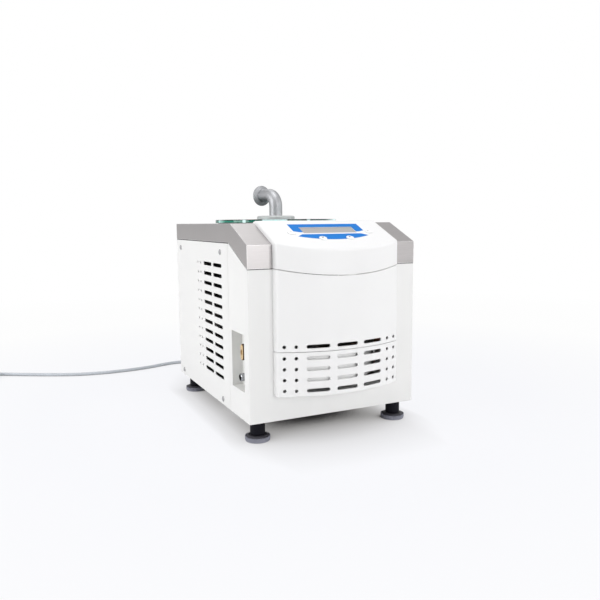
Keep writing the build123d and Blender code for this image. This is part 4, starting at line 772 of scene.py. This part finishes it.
# %% Pan-head screws
wire, size = new_tree("screw_tree", Radius=5 * mm, Height=screw_head, Slot=6.2 * mm, Seed=3)
ball = wire.node("GeometryNodeMeshUVSphere", {}, {"Segments": 40, "Rings": 24, "Radius": 1.0})
flat = wire.vector(size["Radius"], size["Radius"], size["Height"])
dome = wire.node("GeometryNodeTransform", {}, {"Geometry": ball, "Scale": flat})
cutters = wire.node("GeometryNodeJoinGeometry")
slot_width = size["Slot"] * 0.34
slot_depth = size["Height"] * 0.6
below = (40 * mm, 40 * mm, 20 * mm)  # cuts away the lower half of the ball
bars = [
    (wire.vector(size["Slot"], slot_width, slot_depth * 2), size["Height"]),
    (wire.vector(slot_width, size["Slot"], slot_depth * 2), size["Height"]),
    (below, size["Radius"] * -2.0),
]
for extent, height in bars:
    bar = wire.node("GeometryNodeMeshCube", {}, {"Size": extent})
    inputs = {"Geometry": bar, "Translation": wire.vector(z=height)}
    moved = wire.node("GeometryNodeTransform", {}, inputs)
    wire.tree.links.new(moved.socket, cutters.socket.node.inputs[0])
cut = wire.node("GeometryNodeMeshBoolean", {"operation": "DIFFERENCE"}, {0: dome, 1: cutters})
spot = wire.node("GeometryNodeInputPosition")
scaled = wire.node("ShaderNodeVectorMath", {"operation": "DIVIDE"}, {0: spot, 1: flat})
depth = wire.node("ShaderNodeVectorMath", {"operation": "LENGTH"}, {0: scaled}, out="Value")
raised = wire.sum("GREATER_THAN", spot.axis(Z), 0.1 * mm)
hollow = wire.sum("LESS_THAN", depth, 0.97) * raised
settings = {"data_type": "BOOLEAN", "domain": "FACE"}
inputs = {"Geometry": cut, "Name": "recess", "Value": hollow}
cut = wire.node("GeometryNodeStoreNamedAttribute", settings, inputs)
outward = wire.node(
    "GeometryNodeInputNamedAttribute", {"data_type": "FLOAT_VECTOR"}, {"Name": "facing"}
)
upright = wire.node("FunctionNodeAlignRotationToVector", {"axis": "Z"}, {"Vector": outward})
inputs = {2: 0.0, 3: math.pi, "Seed": size["Seed"]}
chance = wire.node("FunctionNodeRandomValue", {"data_type": "FLOAT"}, inputs, out=1)
spin = wire.node("FunctionNodeAxisAngleToRotation", {}, {"Axis": (0, 0, 1), "Angle": chance})
settings = {"rotation_space": "LOCAL"}
turned = wire.node("FunctionNodeRotateRotation", settings, {0: upright, 1: spin})
inputs = {"Points": size["Geometry"], "Instance": cut, "Rotation": turned}
close_tree(wire, wire.node("GeometryNodeInstanceOnPoints", {}, inputs), size["Material"])
start = start_points("screw_seats", seats, facing=facings)
screws = grow("cross_head_screws", wire, start, "screw_steel", "housing", Seed=3)
# The cross recess gets the black moulding finish: painted shade in the recess.
screws.data.materials.append(finishes["black_moulding"])
recess = screws.data.attributes["recess"]
for face in screws.data.polygons:
    face.material_index = int(recess.data[face.index].value)
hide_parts("panel_screws")
print("recess faces", sum(face.material_index for face in screws.data.polygons))

# %% [markdown]
# The cooling coil winds up the wall of the ice chamber and leaves through it at both ends. The
# packed one is made of straight runs and bends; here one path of many short steps gives a
# smooth tube. A round profile is carried along that path.

# %% Cooling coil
chamber = centre_of("chamber_pot")
coil_low, coil_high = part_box("evaporator_coil")
tube_radius = 5.0 * mm
coil_radius = 92.5 * mm
port_radius = 124.0 * mm
coil_start, coil_end = -20.0, 1720.0  # degrees round the chamber
coil_bottom = coil_low.z + tube_radius
coil_top = coil_high.z - tube_radius
coil_steps = 240


def round_chamber(radius, part):
    """A point that far from the chamber's axis, with part running from 0 to 1 up the coil."""
    angle = math.radians(coil_start + part * (coil_end - coil_start))
    height = coil_bottom + part * (coil_top - coil_bottom)
    return chamber.x + radius * math.cos(angle), chamber.y + radius * math.sin(angle), height


path = [round_chamber(coil_radius, step / coil_steps) for step in range(coil_steps + 1)]
path = [round_chamber(port_radius, 0), *path, round_chamber(port_radius, 1)]
wire, size = new_tree("coil_tree", Radius=tube_radius)
line = wire.node("GeometryNodeMeshToCurve", {}, {0: size["Geometry"]})
inputs = {"Curve": line, "Count": 8, "Radius": 12 * mm, "Limit Radius": True}
eased = wire.node("GeometryNodeFilletCurve", {"mode": "POLY"}, inputs)
inputs = {"Resolution": 20, "Radius": size["Radius"]}
ring = wire.node("GeometryNodeCurvePrimitiveCircle", {}, inputs)
inputs = {"Curve": eased, "Profile Curve": ring, "Fill Caps": True}
close_tree(wire, wire.node("GeometryNodeCurveToMesh", {}, inputs), size["Material"], 1.2)
edges = [(i, i + 1) for i in range(len(path) - 1)]
start = start_points("coil_path", path, edges)
coil = grow("cooling_coil", wire, start, "stainless", "housing")
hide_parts("evaporator_coil")

# %% [markdown]
# The foot pads have an edge of small upright ribs, to grip when the height is set by hand, and
# the drain nozzle has barbs for its hose. Both repeat a small shape about an axis or along it.

# %% Ribs on the foot pads
rib_level = 5.4 * mm  # middle of the ribs above the bench
rib_sunk = 0.15 * mm
wire, size = new_tree("rib_tree", Radius=20 * mm, Height=6 * mm, Width=1.1 * mm, Count=44)
inputs = {"Vertices": size["Count"], "Radius": size["Radius"]}
circle = wire.node("GeometryNodeMeshCircle", {}, inputs)
extent = wire.vector(size["Width"], size["Width"], size["Height"])
rib = wire.node("GeometryNodeMeshCube", {}, {"Size": extent})
index = wire.node("GeometryNodeInputIndex")
spin = index * math.tau / size["Count"] + math.pi / 4
turned = wire.node("FunctionNodeAxisAngleToRotation", {}, {"Axis": (0, 0, 1), "Angle": spin})
inputs = {"Points": circle, "Instance": rib, "Rotation": turned}
ribs = wire.node("GeometryNodeInstanceOnPoints", {}, inputs)
inputs = {"Geometry": ribs, "Translation": sample_start(wire, size)}
close_tree(wire, wire.node("GeometryNodeTransform", {}, inputs), size["Material"])
for foot in finish_of["pad_grey"].split():
    low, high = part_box(foot)
    middle = centre_of(foot)
    start = start_points(foot + "_middle", [(middle.x, middle.y, rib_level)])
    radius = (high.x - low.x) / 2 - rib_sunk
    grow(foot + "_ribs", wire, start, "pad_grey", nodes[foot]["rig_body"], Radius=radius)

# %% Barbs on the drain nozzle
first_barb = 1.2 * mm  # from the nozzle's open end
wire, size = new_tree("barb_tree", Radius=6.3 * mm, Bulge=0.55 * mm, Pitch=2.4 * mm, Count=4)
inputs = {"Resolution": 40, "Radius": size["Radius"]}
loop = wire.node("GeometryNodeCurvePrimitiveCircle", {}, inputs)
inputs = {"Resolution": 12, "Radius": size["Bulge"]}
profile = wire.node("GeometryNodeCurvePrimitiveCircle", {}, inputs)
inputs = {"Curve": loop, "Profile Curve": profile}
barb = wire.node("GeometryNodeCurveToMesh", {}, inputs)
quarter = (0, math.pi / 2, 0)
barb = wire.node("GeometryNodeTransform", {}, {"Geometry": barb, "Rotation": quarter})
inputs = {"Count": size["Count"], "Offset": wire.vector(size["Pitch"])}
row = wire.node("GeometryNodeMeshLine", {}, inputs)
barbs = wire.node("GeometryNodeInstanceOnPoints", {}, {"Points": row, "Instance": barb})
inputs = {"Geometry": barbs, "Translation": sample_start(wire, size)}
close_tree(wire, wire.node("GeometryNodeTransform", {}, inputs), size["Material"])
nozzle = centre_of("drain_nozzle")
open_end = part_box("drain_nozzle")[0].x
start = start_points("barb_start", [(open_end + first_barb, nozzle.y, nozzle.z)])
grow("nozzle_barbs", wire, start, "polished_chrome", nodes["drain_nozzle"]["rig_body"])

# %% [markdown]
# Under the edge of the steel cover runs a thin black strip, set back a little, which shows as a
# dark line all round: painted shade, a dark sheet put where the joint falls into shade. Beside
# the hood the same strip stands upright in the open joint, as painted shade too.

# %% Dark strip under the cover, as painted shade
shade_strip_inset, shade_strip_width, shade_strip_height = 0.4 * mm, 1.2 * mm, 1.4 * mm
left_low, left_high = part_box("left_side_panel")
cover_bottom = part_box("top_cover")[0].z
left = left_low.x + shade_strip_inset
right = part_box("right_side_panel")[1].x - shade_strip_inset
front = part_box("front_frame")[0].y + shade_strip_inset
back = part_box("rear_panel")[1].y - shade_strip_inset
hood_low, hood_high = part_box("control_hood")
level = (left_high.z, left_high.z + shade_strip_height)
front_level = (cover_bottom - shade_strip_height, cover_bottom)
beside_hood = (front + shade_strip_inset, front + shade_strip_inset + shade_strip_width, cover_bottom, left_high.z - mm)
strips = [
    (left, left + shade_strip_width, left_low.y, back, *level),
    (right - shade_strip_width, right, left_low.y, back, *level),
    (left, right, back - shade_strip_width, back, *level),
    (left, hood_low.x - shade_strip_inset, front, front + shade_strip_width, *front_level),
    (hood_high.x + shade_strip_inset, right, front, front + shade_strip_width, *front_level),
    (hood_low.x - shade_strip_inset, hood_low.x, *beside_hood),
    (hood_high.x, hood_high.x + shade_strip_inset, *beside_hood),
]
work = bmesh.new()
for x0, x1, y0, y1, z0, z1 in strips:
    middle = Vector((x0 + x1, y0 + y1, z0 + z1)) / 2
    shape = Matrix.Diagonal((x1 - x0, y1 - y0, z1 - z0, 1))
    bmesh.ops.create_cube(work, size=1.0, matrix=Matrix.Translation(middle) @ shape)
shade_strip_mesh = bpy.data.meshes.new("cover_shade_strip")
work.to_mesh(shade_strip_mesh)
work.free()
# The strips take black rubber: painted shade in the joints, not a real seal.
shade_strip_mesh.materials.append(finishes["seal_rubber"])
ride_piece("cover_shade_strip", shade_strip_mesh, "housing")
print("seal strips", len(strips))

# %% [markdown]
# Behind the slots of the grille a pale pad of filter fleece covers most of the condenser. It
# follows the bow of the front and curls back at its right end, so the last slots fall dark.

# %% Filter fleece
bow_radius = 244.2 * mm
bow_centre_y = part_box("front_grille")[0].y + bow_radius
fleece_bottom, fleece_top = 97.0 * mm, 147.0 * mm
fleece_left, fleece_right = -72.0 * mm, 76.0 * mm
curl_from, curl_depth = 12.0 * mm, 34.0 * mm
fleece_gap, fleece_thickness = 4.5 * mm, 5.0 * mm
columns = 48
verts, faces = [], []
for column in range(columns + 1):
    x = fleece_left + (fleece_right - fleece_left) * column / columns
    curl = max(0.0, (x - curl_from) / (fleece_right - curl_from)) ** 1.5 * curl_depth
    face_y = bow_centre_y - math.sqrt((bow_radius - fleece_gap) ** 2 - x**2) + curl
    for y in (face_y, face_y + fleece_thickness):
        for z in (fleece_bottom, fleece_top):
            verts.append((x, y, z))
for column in range(columns):
    a, b = 4 * column, 4 * column + 4
    faces += [(a, b, b + 1, a + 1), (a + 2, a + 3, b + 3, b + 2)]
    faces += [(a, a + 2, b + 2, b), (a + 1, b + 1, b + 3, a + 3)]
last = 4 * columns
faces += [(0, 1, 3, 2), (last, last + 2, last + 3, last + 1)]
fleece_mesh = bpy.data.meshes.new("filter_fleece")
fleece_mesh.from_pydata(verts, [], faces)
finishes["filter_fleece"] = plain_finish(
    "filter_fleece", (0.84, 0.84, 0.84), 0.9, grain=900.0, depth=0.0004, mottle=0.06
)
fleece_mesh.materials.append(finishes["filter_fleece"])
ride_piece("filter_fleece", fleece_mesh, "housing")
print("fleece width", round(fleece_right - fleece_left, 3))

# %% [markdown]
# A mains cord is a fixed length of something limp. It leaves its strain relief behind the
# machine, bends down to the bench, wanders off and ends in a coil with its plug beside it.
# One NURBS spline follows the whole route, coil and all, and a round bevel gives its sheath.

# %% Lay the cord
cord_radius = 3.5 * mm
cord_route = [
    (-60.0, 265.0, 70.0),
    (-60.0, 286.0, 70.0),
    (-59.5, 312.0, 60.5),
    (-58.5, 338.0, 44.0),
    (-57.5, 362.0, 24.5),
    (-57.0, 385.0, 10.0),
    (-58.0, 408.0, 4.6),
    (-65.0, 432.0, 3.6),
    (-84.0, 450.0, 3.6),
    (-112.0, 453.5, 3.6),
    (-141.0, 446.0, 3.6),
    (-182.0, 431.0, 3.6),
    (-229.0, 424.0, 3.6),
    (-276.0, 423.0, 3.6),
    (-322.0, 429.0, 3.6),
    (-362.0, 442.0, 3.6),
    (-402.0, 462.0, 3.6),
    (-445.0, 486.0, 3.6),
    (-492.0, 514.0, 3.6),
    (-522.0, 533.3, 3.6),
]
wound_middle = Vector((-565.6, 515.0))
turn_steps = 16  # points in each turn
first_angle = 57.0  # degrees, where the cord meets its coil
wound_turns = 4.34
layer_turns = 2.0  # turns in the lower layer, before the cord climbs onto them
outer_turn, inner_turn = 46.0, 31.4  # radius where the lower and the upper layer start
lane, upper_lane = 7.3, 6.57  # from one turn to its neighbour in the two layers
on_bench, second_layer = 3.6, 10.7  # heights of the cord's middle
climb_turns = 0.5
spread = 1 / (0.75 + 0.25 * math.cos(math.tau / turn_steps))  # a spline cuts its corners
route = [Vector(point) for point in cord_route]
for step in range(round(wound_turns * turn_steps) + 1):
    turn = step / turn_steps
    angle = math.radians(first_angle) + turn * math.tau
    climbed = turn - layer_turns
    if climbed < 0:
        radius = outer_turn - lane * turn
        height = on_bench
    else:
        radius = inner_turn + upper_lane * climbed
        height = on_bench + (second_layer - on_bench) * min(1.0, climbed / climb_turns)
    outward = Vector((math.cos(angle), math.sin(angle))) * radius * spread
    route.append(Vector((*(wound_middle + outward), height)))
curve = bpy.data.curves.new("mains_lead", "CURVE")
curve.dimensions = "3D"
spline = curve.splines.new("NURBS")
spline.points.add(len(route) - 1)
for knot, point in zip(spline.points, route):
    knot.co = (*(point * mm), 1)
spline.order_u = 3
spline.use_endpoint_u = True
spline.resolution_u = 6
curve.bevel_depth = cord_radius
curve.bevel_resolution = 4
curve.use_fill_caps = True
mains_lead = bpy.data.objects.new("mains_lead", curve)
scene.collection.objects.link(mains_lead)
curve.materials.append(finishes["cord_grey"])
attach(mains_lead, "housing")
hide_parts("mains_cord", "cord_coil")
print("cord route points", len(route))

# %% [markdown]
# The bench is a wide pale floor that takes the machine's shadow. Where it is looked at, in a
# mirror or through the lid as well, it is lifted to nearly white by its own light, and so is the
# world behind it, so no horizon shows. That lifted light carries a painted shadow, from an
# occlusion node, where the machine closes the floor in, deeper in front than beside it, and
# the light on the object stays as it is.

# %% Floor and world
half_floor = 12.0
near_lift = 0.9  # how far the floor is lifted to white close to the machine
half_machine = 0.16
shade_front, shade_side = 0.15, 0.04  # reach of the soft shade before and beside the machine


def ray(wire, kind):
    """1 for rays of that kind, 0 for the others."""
    return wire.node("ShaderNodeLightPath", out=kind)


floor_mesh = bpy.data.meshes.new("bench")
corners = [(x * half_floor, y * half_floor, 0) for x, y in ((-1, -1), (1, -1), (1, 1), (-1, 1))]
floor_mesh.from_pydata(corners, [], [(0, 1, 2, 3)])
bench = bpy.data.objects.new("bench", floor_mesh)
scene.collection.objects.link(bench)
bench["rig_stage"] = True
material = bpy.data.materials.new("pale_bench")
material.use_nodes = True
tree = material.node_tree
tree.nodes.clear()
wire = Wire(tree)
mirrored = ray(wire, "Is Glossy Ray")
seen = ray(wire, "Is Camera Ray").larger(mirrored).larger(ray(wire, "Is Transmission Ray"))
here = position(wire)
away = wire.node("ShaderNodeVectorMath", {"operation": "LENGTH"}, {0: here}, out="Value")
beside = here.axis(X).size().past(half_machine, 0.06)
nearby = {"Distance": beside * (shade_side - shade_front) + shade_front}
# Painted shadow: the floor's own light is darkened by ambient occlusion near the machine, warmer
# where deep.
open_air = wire.node("ShaderNodeAmbientOcclusion", {"samples": 64}, nearby, out="AO")
shade = open_air.past(0.54, 0.92).power(0.36)
paint = 0.88 + seen * 0.04
lit = wire.node("ShaderNodeBsdfDiffuse", {}, {"Color": wire.vector(paint, paint, paint)})
pale = blend_colours(wire, shade, (0.96, 0.93, 0.90), (0.94, 0.945, 0.975))
white = blend_colours(wire, away.past(0.8, 0.7), pale, (1.0, 1.0, 1.0))
shaded = wire.node("ShaderNodeVectorMath", {"operation": "SCALE"}, {0: white, "Scale": shade})
bright = wire.node("ShaderNodeEmission", {}, {"Color": shaded})
lift = near_lift + (1 - near_lift) * away.past(1.3, 1.6)
lifted = wire.node("ShaderNodeMixShader", {}, {0: seen * lift, 1: lit, 2: bright})
output = tree.nodes.new("ShaderNodeOutputMaterial")
tree.links.new(lifted.socket, output.inputs["Surface"])
floor_mesh.materials.append(material)

room_light = 0.42  # how strongly the room itself lights the object
world = bpy.data.worlds.new("pale_room")
scene.world = world
world.use_nodes = True
tree = world.node_tree
tree.nodes.clear()
wire = Wire(tree)
plain_view = ray(wire, "Is Camera Ray").larger(ray(wire, "Is Transmission Ray"))
behind = wire.node("ShaderNodeTexCoord", out="Generated").axis(Y).past(0.7, 0.6)
mirrored = ray(wire, "Is Glossy Ray") * (0.66 - 0.3 * behind)
strength = room_light + (1 - room_light) * plain_view.larger(mirrored)
air = wire.node("ShaderNodeBackground", {}, {"Color": (1, 1, 1, 1), "Strength": strength})
output = tree.nodes.new("ShaderNodeOutputWorld")
tree.links.new(air.socket, output.inputs["Surface"])
scene.view_settings.view_transform = "Standard"
print("bench", 2 * half_floor, "m wide")

# %% [markdown]
# Studio light for white goods is large and soft. One lamp faces the bowed front, a broad one
# lights the louvred side and another lies overhead. A fill on the right keeps the far side
# from falling dark, and a weak lamp from behind sets off the edges of lid and cover.

# %% Lamps


def soft_lamp(name, where, width, height, watts):
    """A rectangular lamp that faces the middle of the machine."""
    data = bpy.data.lights.new(name, "AREA")
    data.shape = "RECTANGLE"
    data.size, data.size_y = width, height
    data.energy = watts
    lamp = bpy.data.objects.new(name, data)
    turn = (Vector(where) - machine_middle).to_track_quat("Z", "Y")
    lamp.matrix_world = Matrix.Translation(where) @ turn.to_matrix().to_4x4()
    scene.collection.objects.link(lamp)


machine_middle = Vector((0.0, 0.0, 0.2))
soft_lamp("front_lamp", (0.44, -2.1, 0.68), 0.9, 0.9, 10.5)
soft_lamp("side_lamp", (-2.15, 0.05, 0.9), 1.4, 1.2, 21.5)
soft_lamp("top_lamp", (-0.1, -0.35, 2.2), 1.3, 1.3, 19.0)
soft_lamp("fill_lamp", (2.0, -1.0, 0.9), 1.2, 1.2, 8.5)
soft_lamp("rear_lamp", (0.27, 1.17, 1.8), 0.9, 0.7, 3.0)

# %% Finish
visual_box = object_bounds()
boxes = {
    "cad": [list(map(float, corner)) for corner in cad_box],
    "visual": [list(map(float, corner)) for corner in visual_box],
}
print("size", [round(b - a, 4) for a, b in zip(*boxes["visual"])])
